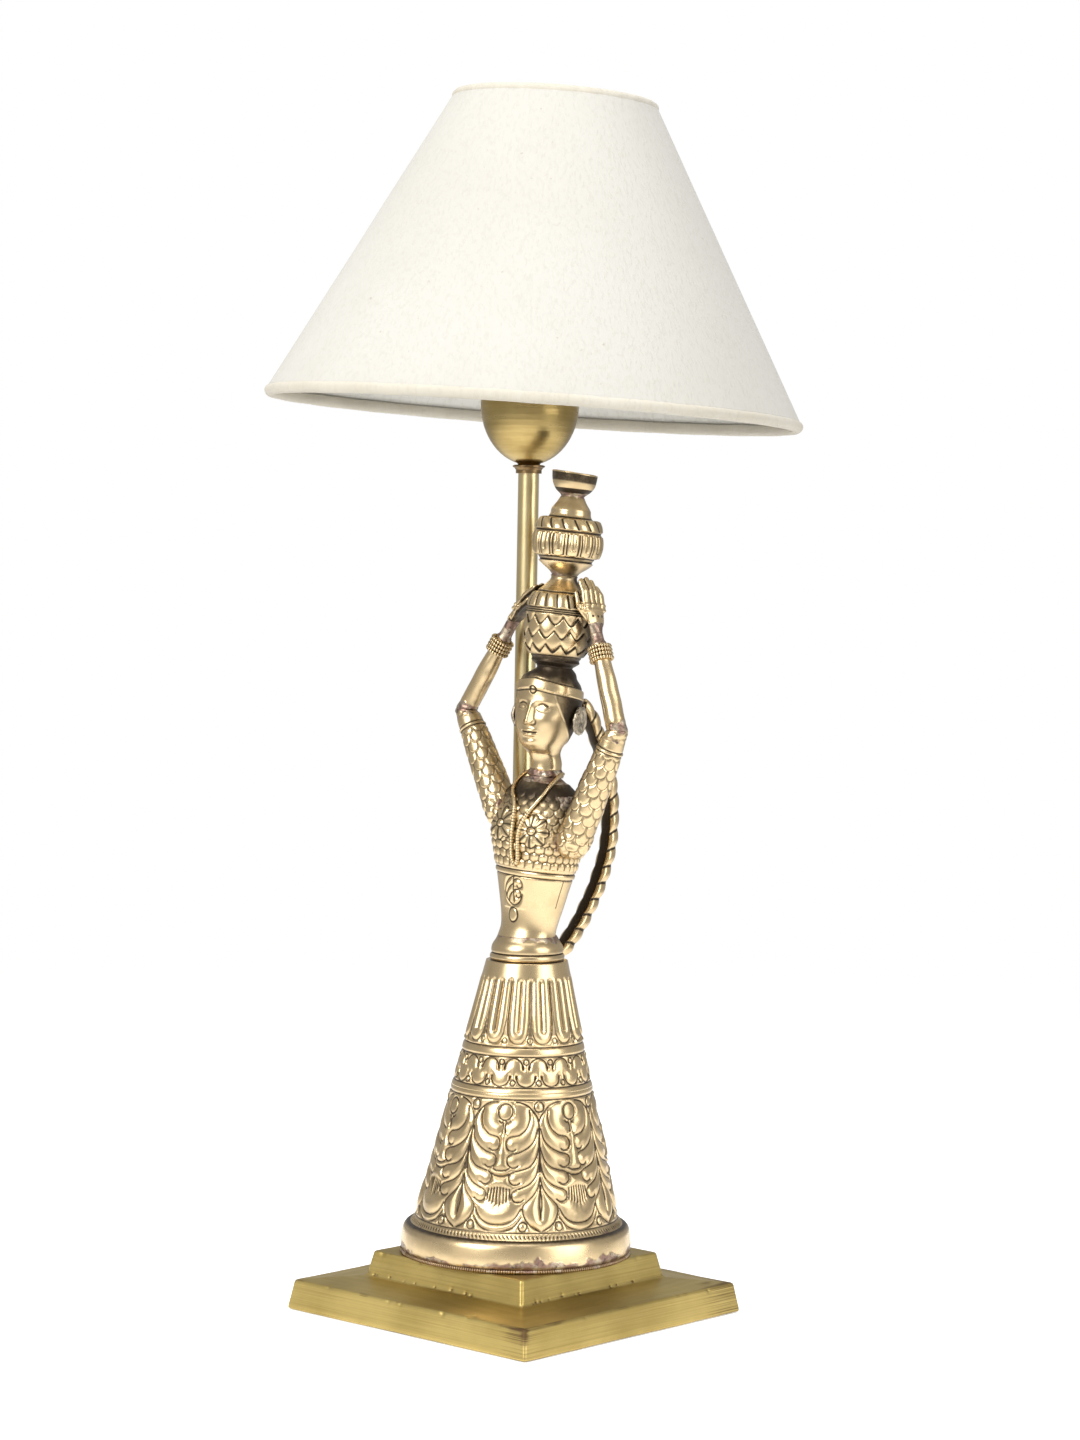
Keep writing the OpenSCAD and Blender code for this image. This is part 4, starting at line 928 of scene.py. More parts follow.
def makeSkirtPart(name, low, high, stands=()):
    s = skirt
    foot, bottom = s["footRadius"], s["bottom"]
    flare = [(foot + 3.2, bottom), (foot + 2.2, 44.0), (foot + 0.6, 46.2)]
    outer = [p for p in flare if p[1] >= low] + [(coneRadius(z), z) for z in (max(low, s["coneFoot"]), high)]
    inner = [(r - s["sheet"] - 1.2, z) for r, z in reversed(fine(outer, 12))]
    piece = spin(name, fine(outer, s["spacing"]) + inner, s["sides"], closed=True)
    points = readPoints(piece)
    radius = np.hypot(points[:, 0], points[:, 1])
    angle = np.arctan2(points[:, 1], points[:, 0])
    z = points[:, 2]
    skin = radius > np.where(z < s["coneFoot"], foot - 0.5, coneRadius(z) - 0.6)
    relief, dark = skirtRelief(angle, z)
    slope = math.atan2(foot - s["waistRadius"], s["top"] - s["coneFoot"])
    outward = [np.cos(angle) * math.cos(slope), np.sin(angle) * math.cos(slope)]
    outward = np.stack(outward + [np.full(len(z), math.sin(slope))], 1)
    hand = uneven(points, 30, 3) * 0.35 * smoothStep(z, bottom, 60) * (1 - smoothStep(z, 150, s["top"]))
    points += outward * ((relief + hand - 0.35) * skin)[:, None]
    bendSkirt(points)
    writePoints(piece, points)
    away = [places["pole"][k] - places["figure"][k] for k in range(2)]
    joint = 1 - smoothStep(np.hypot(points[:, 0] - away[0], points[:, 1] - away[1]), 5.5, 8.5)
    patina = np.maximum(dark * 0.95, hollows(piece, 6, 0.5) * 0.5) * skin
    patinaAndShade = smoothStep(uneven(points, 22, 9), -0.3, 0.5) * 0.3 + 0.13
    patina = np.maximum(patina, patinaAndShade * (1 - smoothStep(z, 100, 112)))
    writeMask(piece, "patina", np.maximum(patina, joint * 0.7))
    writeMask(piece, "solder", np.maximum(joint * 0.8, 0.3 * np.exp(-np.clip(z - 43, 0, 99) / 1.6)))
    finishOldBrass(piece, onSkirt, stands)


makeSkirtPart("skirtLeafBand", skirt["bottom"], skirt["join"], ["skirt"])
makeSkirtPart("skirtUpperBands", skirt["join"], skirt["top"])
print("skirt pressed")


# A turned ring or bowl of old brass, with its patina and solder given by height
def turnedBrass(name, section, sides, place, stands, patina, solder, wave=0.12, bend=False):
    piece = spin(name, section, sides, closed=True)
    points = readPoints(piece)
    points += readNormals(piece) * (uneven(points, 17, len(name)) * wave)[:, None]
    z = points[:, 2]
    lines = hollows(piece, 8, 0.3)
    if bend:
        bendSkirt(points)
    writePoints(piece, points)
    writeMask(piece, "patina", np.maximum(np.interp(z, *zip(*patina)), lines * 0.8))
    writeMask(piece, "solder", np.interp(z, *zip(*solder)))
    return finishOldBrass(piece, place, stands)


# The rounded ring at the skirt's foot, soldered along its lower edge, and the beaded wire under it
foot = {
    "outer": [
        (50.4, 43.1), (51.6, 42.7), (52.8, 41.7), (53.6, 40.3), (54.1, 38.0), (54.5, 35.0), (54.6, 32.6),
        (54.4, 31.2), (53.7, 30.2), (52.9, 29.7), (52.4, 28.4),
    ],
    "inner": [(49.2, 28.4), (49.2, 43.0)],
    "beadRadius": 1.05,
    "beadRing": 53.7,
    "beadHeight": 29.4,
    "beads": 296,
}
turnedBrass(
    "footRing", fine(curve(foot["outer"], 4), 0.7) + foot["inner"], 240, onSkirt, ["skirt_foot"],
    [(28.4, 0.8), (29.6, 0.65), (30.8, 0.3), (33, 0.16), (39, 0.1), (41.4, 0.35), (43, 0.85)],
    [(28.4, 0.75), (30.2, 0.68), (32.4, 0.5), (35.5, 0.28), (38.5, 0.1)], bend=True,
)


# A wire of beads: its radius sinks between them
def beadedRing(name, ring, height, radius, beads, sides=8, perBead=5, sink=0.42):
    steps = beads * perBead
    turn = np.arange(steps) / steps * 2 * math.pi
    swell = radius * (1 - sink * (1 - np.abs(np.sin(turn * beads / 2)) ** 0.6))
    around = np.arange(sides) / sides * 2 * math.pi
    across = ring + swell[:, None] * np.cos(around)
    up = height + swell[:, None] * np.sin(around)
    rings = np.stack([across * np.cos(turn)[:, None], across * np.sin(turn)[:, None], up], 2)
    piece = wrapRings(name, rings[:, ::-1], closed=True)
    writeMask(piece, "patina", np.repeat(1 - np.abs(np.sin(turn * beads / 2)), sides) * 0.9)
    return piece


def makeFootBeads(c):
    piece = beadedRing("footBeads", c["beadRing"], c["beadHeight"], c["beadRadius"], c["beads"], perBead=4)
    points = readPoints(piece)
    bendSkirt(points)
    writePoints(piece, points)
    writeMask(piece, "solder", np.full(len(points), 0.36))
    finish(piece, "stand", materials["coppery"], onSkirt, ["foot_bead_wire"])


makeFootBeads(foot)

# The two rounded bands where skirt and figure meet
waist = {
    "outer": [
        (18.3, 166.7), (17.0, 167.5), (17.35, 168.0), (17.65, 168.9), (17.5, 169.9), (17.1, 170.5),
        (16.5, 170.9), (16.9, 171.4), (17.0, 172.5), (16.75, 174.0), (16.0, 175.5), (15.1, 176.8),
        (14.5, 177.9), (13.9, 178.9),
    ],
    "inner": [(10.0, 178.9), (10.0, 166.7)],
}
turnedBrass(
    "waistBands", fine(curve(waist["outer"], 4), 0.35) + waist["inner"], 200, onSkirt, ["waist_collar"],
    [
        (166.7, 0.9), (167.5, 0.9), (168.0, 0.25), (170.4, 0.3), (170.9, 0.95), (171.4, 0.35), (174, 0.22),
        (177, 0.38), (179, 0.4),
    ],
    [(166.7, 0.0), (174.5, 0.0), (176.4, 0.42), (178.9, 0.62)], wave=0.22, bend=True,
)
print("foot ring, beads and waist bands turned")


# A form's rows, read smoothly at the given heights
def rowValues(rows, at):
    table = np.array(curve(rows, 8))
    return [np.interp(at, table[:, 0], table[:, k]) for k in range(1, table.shape[1])]


# An upright form from rows of [height, radius across, radius deep, middle from front to back]
def roundForm(name, rows, spacing, sides):
    z = np.linspace(rows[0][0], rows[-1][0], int((rows[-1][0] - rows[0][0]) / spacing) + 1)
    across, deep, middle = (values[:, None] for values in rowValues(rows, z))
    angle = math.pi / 2 + (np.arange(sides) + 0.5) / sides * 2 * math.pi
    rings = [across * np.cos(angle), middle + deep * np.sin(angle), np.repeat(z[:, None], sides, 1)]
    piece = wrapRings(name, np.stack(rings, 2))
    points = readPoints(piece)
    turn = np.degrees(np.concatenate([np.tile(angle, len(z)), [0, 0]]))
    turn = (turn + 270) % 360 - 270  # from -270 to 90, with the front at -90
    size = np.interp(points[:, 2], z, ((across + deep) / 2).ravel())
    return piece, points, turn, size


# Rows of round-ended scales: how far each point is from their edges. Turns count the scales round the form.
def scaleEdges(turns, width, along, first, pitch, rows, tip, leg=0.0, reach=0.5):
    found = np.full(len(along), 9.0)
    for j in range(rows):
        across = ((turns + 0.5 * (j % 2)) % 1 - 0.5) * width
        ahead = (along - first - pitch * j) * tip
        end = np.abs(np.hypot(across, ahead) - width * reach)
        side = np.hypot(np.abs(across) - width * reach, np.minimum(ahead + leg, 0))
        found = np.minimum(found, np.where(ahead >= 0, end, side))
    return found


def softBump(x, z, atX, atZ, wideX, wideZ):
    return np.exp(-(((x - atX) / wideX) ** 2) - ((z - atZ) / wideZ) ** 2)


# The bodice: a bare belly, a double hem, rows of beads, two rosettes and feathers under dark shoulders
torso = {
    "rows": [
        (-2, 15.3, 13.9), (1, 14.9, 13.3), (4.5, 14.6, 12.5), (9, 14.6, 12), (16, 15.9, 12.7),
        (26, 18.4, 14.2), (36, 21, 15.9), (46, 22.8, 16.9), (56, 23.2, 17.6), (65, 22.4, 15.6),
        (72, 20, 12.8), (77, 14.5, 9.8), (79.6, 8.4, 8), (81, 7.6, 7.7),
    ],
    "spacing": 0.37,
    "sides": 300,
    "back": 2.0,
    "hems": (33.2, 36.0),
    "beadRows": (39.4, 43.1, 46.8, 50.5),
    "beadCount": 30,
    "rosettes": ((-66, 55.2, 8.0), (-113, 56.8, 8.0)),  # turn, height, radius
    "feathers": {"count": 22, "first": 55.0, "pitch": 3.4, "rows": 6},
    "bust": {"turns": (-125, -55), "height": 52, "rise": 0.13, "size": (19, 9)},
    "spray": [
        [(0.3, 33.0), (0.0, 28.0), (0.4, 20.8)],
        [(-0.2, 32.6), (-2.4, 31.2), (-4.4, 28.4), (-5.0, 25.4)],
        [(-0.1, 29.2), (-2.0, 27.6), (-3.6, 25.0), (-4.0, 22.6)],
        [(0.1, 25.6), (-1.4, 24.2), (-2.4, 22.4), (-2.4, 20.8)],
        [(0.3, 31.0), (2.4, 31.8), (4.4, 30.4), (4.4, 28.2), (2.8, 27.4), (1.9, 28.6)],
        [(0.3, 26.2), (2.2, 26.8), (3.8, 25.4), (3.6, 23.4), (2.2, 22.8), (1.6, 24.0)],
        [(-5.0, 25.4), (-3.4, 21.4), (0.4, 19.2), (3.4, 21.2), (4.6, 24.8)],
    ],
    "seam": (-6, 19.5, 33.0),
    "patina": [
        (-2, 0.55), (1, 0.3), (8, 0.02), (32, 0.0), (37, 0.05), (52, 0.05), (60, 0.15), (67, 0.5), (73, 0.85),
        (81, 0.6),
    ],
}


# How far each point is from the walls between beads that stand in staggered rows
def beadWalls(turn, z, size):
    t = torso
    nearest, second = np.full(len(z), 9.0), np.full(len(z), 9.0)
    step = 2 * math.pi * size / t["beadCount"]
    for row, height in enumerate(t["beadRows"]):
        across = np.abs((turn / 360 * t["beadCount"] + 0.5 * (row % 2)) % 1 - 0.5) * step
        for side in (across, step - across):
            away = np.hypot(side, z - height)
            second = np.minimum(second, np.maximum(nearest, away))
            nearest = np.minimum(nearest, away)
    return (second - nearest) / 2


def bodiceRelief(turn, z, size):
    t = torso
    front = np.radians(turn + 90) * size
    relief, dark = np.zeros(len(z)), np.zeros(len(z))
    for hem in t["hems"]:
        relief -= 0.4 * closeTo(z - hem, 0.36)
        dark = np.maximum(dark, closeTo(z - hem, 0.4))
    relief += 0.4 * np.exp(-(((z - sum(t["hems"]) / 2) / 1.3) ** 4)) + 0.3 * smoothStep(z, 35.8, 37)
    spray = toLines(front, z, [curve(line, 4) for line in t["spray"]])
    near = (np.abs(front) < 6.5) & (z > 18) & (z < 33.4)
    field = 0.55 * (1 - closeTo(spray, 0.9)) * np.exp(-((front / 5.4) ** 6))
    relief += np.where(near, field, 0) - 0.35 * closeTo(spray)
    dark = np.maximum(dark, 0.9 * closeTo(spray, 0.4))
    navel = np.hypot(front / 2.5, (z - 14.6) / 3.4)
    relief += 0.45 * np.exp(-(navel**4)) - 0.4 * closeTo((navel - 1) * 2.6)
    dark = np.maximum(dark, closeTo((navel - 1) * 2.6, 0.42))
    seam = np.radians(turn - t["seam"][0]) * size
    along = (z > t["seam"][1]) & (z < t["seam"][2])
    relief -= 0.3 * closeTo(seam) * along
    dark = np.maximum(dark, 0.8 * closeTo(seam, 0.38) * along)
    ground = within(z, 37.6, 38.4, 50.4, 51.4)
    free = np.ones(len(z))
    for middle, height, radius in t["rosettes"]:
        x, y = np.radians(turn - middle) * size, z - height
        out = np.hypot(x, y)
        petal = np.abs(np.cos(4 * np.arctan2(y, x)))
        edge = radius * (0.8 + 0.2 * petal)
        inside = out < edge
        lobe = np.clip(1 - ((out - 0.62 * radius) / (0.45 * radius)) ** 2, 0, 1) ** 0.5
        relief = np.where(inside, 0.35 + 0.95 * lobe * petal**0.45, relief)
        between = closeTo((1 - petal) * out * 0.3, 0.2)
        dark = np.where(inside, 0.75 * between * smoothStep(out, 1.6, 2.6), dark)
        relief -= np.where(inside, 0.3 * between * smoothStep(out, 1.6, 2.6), 0)
        button = 0.7 * np.exp(-((out / 1.3) ** 4))
        relief += button - 0.4 * closeTo(out - 1.9) - 0.4 * closeTo(out - edge, 0.4)
        dark = np.maximum(dark, np.maximum(closeTo(out - 1.9, 0.36), closeTo(out - edge, 0.36)))
        ground = np.where(inside, 0, ground)
        free *= smoothStep(out, radius, radius + 0.6)
    walls = beadWalls(turn, z, size)
    relief += ground * (0.5 * (1 - closeTo(walls, 0.8)) - 0.3 * closeTo(walls, 0.3))
    dark = np.maximum(dark, 0.85 * ground * closeTo(walls))
    f = t["feathers"]
    wide = 2 * math.pi * size / f["count"]
    edges = scaleEdges(turn / 360 * f["count"], wide, z, f["first"], f["pitch"], f["rows"], -1, 1.0)
    collar = within(z, 51.6, 53, 70, 74) * free
    relief += collar * (0.35 * (1 - closeTo(edges, 1.1)) - 0.3 * closeTo(edges))
    dark = np.maximum(dark, 0.8 * collar * closeTo(edges, 0.4))
    return relief - 0.25, dark


def makeTorso():
    t = torso
    rows = [(z, a, b, t["back"] * min(1, max(0, z / 12))) for z, a, b in t["rows"]]
    piece, points, turn, size = roundForm("bodice", rows, t["spacing"], t["sides"])
    z = points[:, 2]
    b = t["bust"]
    sides = sum(closeTo(turn - at, b["size"][0]) for at in b["turns"])
    bust = b["rise"] * closeTo(z - b["height"], b["size"][1]) * sides
    middle = t["back"] * np.clip(z / 12, 0, 1)
    points[:, 0] *= 1 + bust
    points[:, 1] = middle + (points[:, 1] - middle) * (1 + bust)
    writePoints(piece, points)
    outward = readNormals(piece)
    relief, dark = bodiceRelief(turn, z, size)
    skin = np.abs(outward[:, 2]) < 0.97
    lumps = uneven(points, 5, 8) * 0.55 * smoothStep(z, 75.5, 78) + uneven(points, 16, 5) * 0.22
    points += outward * ((relief * (1 - smoothStep(z, 75, 78)) + lumps) * skin)[:, None]
    writePoints(piece, points)
    base = np.interp(z, *zip(*t["patina"])) + 0.16 * uneven(points, 12, 4)
    writeMask(piece, "patina", np.maximum(np.maximum(dark * 0.95, hollows(piece, 6, 0.5) * 0.4), base))
    left = np.hypot(points[:, 0] - 20.5, z - 60) < 13
    joint = 0.55 * left * smoothStep(np.abs(turn), 60, 20) + 0.65 * smoothStep(z, 76, 78.5)
    writeMask(piece, "solder", joint)
    finishOldBrass(piece, onFigure, ["torso"])


makeTorso()
print("bodice chased")

# The head: plain features by proportion, a band over the brow and a dark smooth cap
head = {
    "rows": [
        (81, 7.6, 7.7, 0), (86, 7.2, 7.4, 0), (90.5, 7.6, 7.8, 0.2), (93.5, 9.2, 9.6, -0.2),
        (98, 11.7, 11.8, 0), (104, 13.8, 13.9, 0.8), (111, 14.9, 15, 1.9), (118, 15.2, 15.4, 2.4),
        (123.5, 14.6, 14.8, 2.2), (128, 11.8, 12, 1), (130.8, 8.9, 9.4, -1), (132, 8.2, 8.4, -2),
    ],
    "spacing": 0.3,
    "sides": 330,
    "chin": 94.6,
    "eyes": 112.4,
    "brow": 115.2,
    "nose": 104.8,
    "mouth": 101.0,
    "eyeSide": 5.7,
    "bandLow": (122.0, 115.0),  # height in front and behind
    "bandWide": 4.6,
    # height, and way round from the middle of the brow
    "hairline": [(94, 27), (103, 20), (110, 15.5), (116, 12.2), (121, 10.2)],
    "aside": (-2.4, -2.2),  # how far the head stands off the neck's middle
}


def faceRelief(x, z):
    h = head
    eye, nose, mouth, chin = h["eyes"], h["nose"], h["mouth"], h["chin"]
    side = np.abs(x)
    relief = -1.5 * softBump(side, z, 4.9, eye + 0.2, 3.0, 2.2)
    relief += 1.35 * softBump(side, z, h["eyeSide"], eye - 0.2, 2.3, 1.35)
    relief += 0.55 * softBump(side, z, 6.0, h["brow"] + 0.6, 4.4, 1.3)
    bridge = np.interp(z, [nose - 0.6, nose + 1.4, eye, h["brow"] + 1], [3.3, 3.3, 1.5, 0.5])
    wide = np.interp(z, [nose - 0.6, nose + 1.6, eye, h["brow"]], [1.7, 1.5, 1.3, 2.0])
    ridge = smoothStep(z, nose - 1.1, nose + 0.5) * (1 - smoothStep(z, eye + 1.5, h["brow"] + 2))
    relief += bridge * closeTo(side, wide) * ridge
    relief += 0.95 * softBump(side, z, 2.2, nose + 0.5, 0.95, 1.1)
    relief += 0.7 * softBump(side, z, 7.6, nose + 2.4, 3.6, 3.6)
    lips = np.exp(-((side / 3.0) ** 4))
    upperLip = closeTo(z - mouth - 0.95 + 0.05 * side, 0.75)
    relief += lips * (0.85 * upperLip + 0.95 * closeTo(z - mouth + 1.05, 0.85))
    relief += 0.5 * softBump(side, z, 0, mouth, 4.4, 2.6)
    chinRise = 1.1 * softBump(side, z, 0, chin + 1.6, 3.4, 2.0)
    relief += chinRise - 0.45 * softBump(side, z, 0, mouth - 2.9, 2.6, 0.9)
    lids = [
        [(3.0, eye - 0.35), (4.2, eye + 0.85), (5.8, eye + 1.2), (7.3, eye + 0.65), (8.4, eye - 0.2)],
        [(3.0, eye - 0.35), (4.4, eye - 1.15), (6.0, eye - 1.35), (7.4, eye - 0.95), (8.4, eye - 0.2)],
    ]
    fold = [(3.6, eye + 1.5), (5.8, eye + 2.2), (8.0, eye + 1.3)]
    lipLine = [(0, mouth - 0.1), (1.2, mouth + 0.15), (2.4, mouth), (3.7, mouth + 0.1)]
    wingLine = [(3.1, nose + 1.5), (3.3, nose + 0.4), (2.6, nose - 0.4), (1.4, nose - 0.6)]
    lid = toLines(side, z, [curve(line, 5) for line in lids])
    crease = toLines(side, z, [curve(fold, 5)])
    parting = toLines(side, z, [curve(lipLine, 4)])
    wing = toLines(side, z, [curve(wingLine, 4)])
    folds = 0.3 * closeTo(lid, 0.42) - 0.3 * closeTo(crease, 0.4) - 0.55 * closeTo(parting, 0.42)
    relief += folds - 0.3 * closeTo(wing, 0.45)
    lines = np.maximum(0.85 * closeTo(crease, 0.42), closeTo(parting, 0.45))
    lines = np.maximum(lines, np.maximum(0.75 * closeTo(wing, 0.5), 0.6 * closeTo(lid - 0.45, 0.25)))
    return relief, lines


def makeHead():
    h = head
    piece, points, turn, size = roundForm("headAndNeck", h["rows"], h["spacing"], h["sides"])
    z, side = points[:, 2].copy(), np.radians(turn + 90) * size
    x = points[:, 0].copy()
    frontal = smoothStep(-points[:, 1], -2.0, 4.0)
    relief, lines = faceRelief(x, z)
    relief, lines = relief * frontal, lines * frontal
    toBack = np.clip(np.abs(turn + 90) / 180, 0, 1)
    band = h["bandLow"][0] + (h["bandLow"][1] - h["bandLow"][0]) * toBack
    up = z - band
    beads = np.abs(np.sin(side * math.pi / 1.5))
    inBand = within(up, -0.3, 0.3, h["bandWide"] - 0.3, h["bandWide"] + 0.3)
    relief = np.where(up > 0.2, 0, relief) + 0.75 * inBand
    relief += 0.4 * closeTo(up, 0.75) * (0.75 + 0.25 * beads)
    relief -= 0.4 * closeTo(up - h["bandWide"], 0.4)
    hairline = np.interp(z, *zip(*h["hairline"]))
    hair = smoothStep(np.abs(side), hairline - 0.4, hairline + 0.8) * (1 - smoothStep(up, -0.6, 0.2))
    hair *= smoothStep(z, 92, 96)
    relief += hair * 0.5
    jewel = np.hypot(side, z - h["bandLow"][0] + 1.2)
    relief += 0.9 * np.exp(-((jewel / 1.25) ** 4)) - 0.3 * closeTo(jewel - 1.6)
    neck = 1 - smoothStep(z, 88, 92)
    own = (relief * (1 - neck) + uneven(points, 14, 3) * 0.2) * (z < 131.6)
    points += readNormals(piece) * own[:, None]
    lumps = smoothStep(z, 84.5, 82.0)
    points += readNormals(piece) * (lumps * (0.9 + 0.7 * uneven(points, 4, 6)))[:, None]
    points[:, :2] += np.outer(within(z, 86, 95, 126.5, 131.5), h["aside"])
    writePoints(piece, points)
    cap = smoothStep(up, h["bandWide"], h["bandWide"] + 0.6)
    # Painted shade: the hair darkens towards the back of the head
    dark = np.maximum(lines, hair * (0.55 + 0.35 * smoothStep(toBack, 0.25, 0.5)))
    dark = np.maximum(dark, np.maximum(0.9 * closeTo(up - h["bandWide"], 0.5), 0.8 * closeTo(up + 0.9, 0.5)))
    dark = np.maximum(dark, closeTo(jewel - 1.7, 0.45))
    # The cap's own dark bronze, streaked at random, with painted shade that grows towards the back; it is
    # also darker towards the top, under the pot
    streaks = 0.22 * uneven(points * (1, 1, 2.2), 9, 3)
    bronzeAndShade = cap * np.clip(0.42 + 0.6 * toBack + 0.35 * smoothStep(z, 126, 130.5) + streaks, 0, 0.92)
    patinaAndShade = 0.22 + 0.16 * uneven(points, 9, 8)
    wornAndShade = np.maximum(np.maximum(dark, patinaAndShade), bronzeAndShade)
    writeMask(piece, "patina", np.maximum(wornAndShade, hollows(piece, 8, 0.5) * 0.5))
    writeMask(piece, "solder", np.maximum(0.7 * smoothStep(z, 85.5, 82.5), 0.35 * smoothStep(z, 129.5, 131)))
    finishOldBrass(piece, onHead, ["head"])


makeHead()


# Rough soldered discs over the ears
earDiscs = {
    "radii": (6.8, 5.6, 0.95),  # along, up, out
    "rim": (0.82, 0.12, 0.5),  # place and width as shares of the disc, height
    "middle": (16.9, 4.0, 108.2),
}


def makeEarDisc(name, side, node):
    c = earDiscs
    deselectAll()
    bpy.ops.mesh.primitive_uv_sphere_add(segments=64, ring_count=40, radius=1)
    piece = bpy.context.object
    piece.name = name
    points = readPoints(piece)
    out = np.hypot(points[:, 0], points[:, 1])
    points[:, :2] *= c["radii"][:2]
    points[:, 2] = np.sign(points[:, 2]) * np.abs(points[:, 2]) ** 0.5 * c["radii"][2]
    points += readNormals(piece) * (uneven(points, 3.1, 5) * 0.75)[:, None]
    at, width, height = c["rim"]
    points[:, 2] += height * closeTo(out - at, width) * (points[:, 2] > 0)
    points[:, 0] *= 1 + 0.06 * np.sin(3 * np.arctan2(points[:, 1], points[:, 0]))
    writePoints(piece, points)
    writeMask(piece, "patina", np.maximum(hollows(piece, 8, 0.3) * 0.9, 0.5 * uneven(points, 5, 2)))
    writeMask(piece, "solder", np.full(len(points), 1.0))
    x, y, z = c["middle"]
    middle = (side * x + head["aside"][0], y + head["aside"][1], z)
    place = onHead @ Matrix.Translation(middle) @ Matrix.Rotation(side * math.pi / 2, 4, "Y")
    finish(piece, "stand", materials["paleSolder"], place, [node])


makeEarDisc("earDiscLeft", 1, "earring_left")
makeEarDisc("earDiscRight", -1, "earring_right")
print("head and ear discs made")

# Two turned pots and a bowl, stacked on the head
pots = {
    "lower": [
        (0.51, 0), (0.7, 0.055), (0.69, 0.09), (0.79, 0.13), (0.95, 0.23), (1, 0.39), (0.975, 0.53),
        (0.99, 0.58), (0.985, 0.63), (0.97, 0.67), (0.9, 0.75), (0.78, 0.82), (0.61, 0.87), (0.46, 0.93),
        (0.395, 0.97), (0.395, 1),
    ],
    "upper": [
        (0.378, 0), (0.46, 0.045), (0.66, 0.11), (0.8, 0.17), (0.79, 0.2), (0.92, 0.25), (1, 0.36), (1, 0.46),
        (0.96, 0.545), (0.97, 0.58), (0.93, 0.65), (0.82, 0.72), (0.62, 0.75), (0.58, 0.83), (0.44, 0.92),
        (0.345, 1),
    ],
    "lowerSize": (16.5, 43.0),  # greatest radius, height
    "upperSize": (16.7, 38.0),
    "scales": 13,
    "scaleRows": (8.2, 14.8, 21.4),
    "scaleEdge": ([0, 0.25, 0.7, 1], [2.3, 1.0, -0.9, -1.5]),
    "lowerRibs": 17,
    "lowerLines": (0.592, 0.614, 0.638, 0.83, 0.115),
    "lowerBeads": (0.603, 0.626),
    "tongues": 14,
    "upperRibs": 15,
    "upperLines": (0.19, 0.215, 0.55, 0.74),
    "sides": 300,
    "spacing": 0.36,
    "bowlFoot": 81,
    "bowl": [
        (5.7, 0), (6.4, 0.7), (8.2, 2.2), (9.7, 4.6), (10.4, 7.2), (10.7, 9.6), (10.75, 10.4), (10.3, 10.75),
        (9.75, 10.2), (9.5, 7.6), (8.3, 5.4), (6.2, 3.6), (3.0, 2.7), (0.4, 2.5),
    ],
}


# A pot's band of slanted ribs: relief and dark joints
def ribs(phase, band, rise):
    lobe = np.abs(np.cos(math.pi * phase))
    return band * (rise * lobe**0.7 - 0.2), band * (1 - smoothStep(lobe, 0.05, 0.5))


# v is the height as a share of the pot's own
def lowerPotRelief(turn, v, size, rise):
    p = pots
    above, edges = np.full(len(v), 9.0), np.full(len(v), 9.0)
    up = v * rise
    for j, first in enumerate(p["scaleRows"]):
        x = np.abs(((turn / 360 * p["scales"] + 0.5 * (j % 2)) % 1 - 0.5)) * 2
        zigzag = up - first - np.interp(x, *p["scaleEdge"])
        edges = np.minimum(edges, np.abs(zigzag) * 0.8)
        above = np.where((zigzag > 0) & (zigzag < above), zigzag, above)
    scales = within(v, 0.12, 0.14, 0.575, 0.59)
    relief = scales * (0.25 - 0.75 * closeTo(above, 1.7) - 0.2 * closeTo(edges)) - 0.3
    dark = scales * np.maximum(closeTo(edges, 0.42), 0.8 * closeTo(above, 0.85))
    band = within(v, 0.645, 0.66, 0.79, 0.82)
    ribRelief, ribDark = ribs(turn / 360 * p["lowerRibs"] + (v - 0.6) * 1.2, band, 0.8)
    relief += ribRelief
    dark = np.maximum(dark, ribDark)
    for line in p["lowerLines"]:
        relief -= 0.4 * closeTo((v - line) * rise)
        dark = np.maximum(dark, closeTo((v - line) * rise, 0.4))
    first, second = (0.45 * closeTo((v - line) * rise, 0.5) for line in p["lowerBeads"])
    relief += first + second
    dark = np.maximum(dark, 0.8 * (1 - smoothStep(v, 0.06, 0.12)))
    return relief, np.maximum(dark, 0.45 * smoothStep(v, 0.88, 0.97))


def upperPotRelief(turn, v, size, rise):
    p = pots
    across = np.abs(((turn / 360 * p["tongues"]) % 1) - 0.5) * 2 * math.pi * size / p["tongues"]
    half = math.pi * size / p["tongues"]
    end = np.clip((0.285 - v) * rise, 0, 9)
    side = np.abs(np.hypot(np.minimum(across, half), end * 0.9) - half * 0.8)
    middle = across + 9 * (v < 0.31)
    band = within(v, 0.235, 0.25, 0.515, 0.53)
    swell = 0.6 * (1 - closeTo(np.minimum(side, middle), 0.95))
    relief = band * (swell - 0.4 * closeTo(side) - 0.2 * closeTo(middle)) - 0.5
    dark = band * np.maximum(closeTo(side, 0.4), 0.7 * closeTo(middle, 0.36))
    slanted = within(v, 0.565, 0.58, 0.7, 0.725)
    ribRelief, ribDark = ribs(turn / 360 * p["upperRibs"] + (v - 0.65) * 2.6, slanted, 0.7)
    relief += ribRelief
    dark = np.maximum(dark, ribDark)
    for line in p["upperLines"]:
        relief -= 0.45 * closeTo((v - line) * rise)
        dark = np.maximum(dark, closeTo((v - line) * rise, 0.42))
    return relief, np.maximum(dark, 0.6 * (1 - smoothStep(v, 0.02, 0.08)))


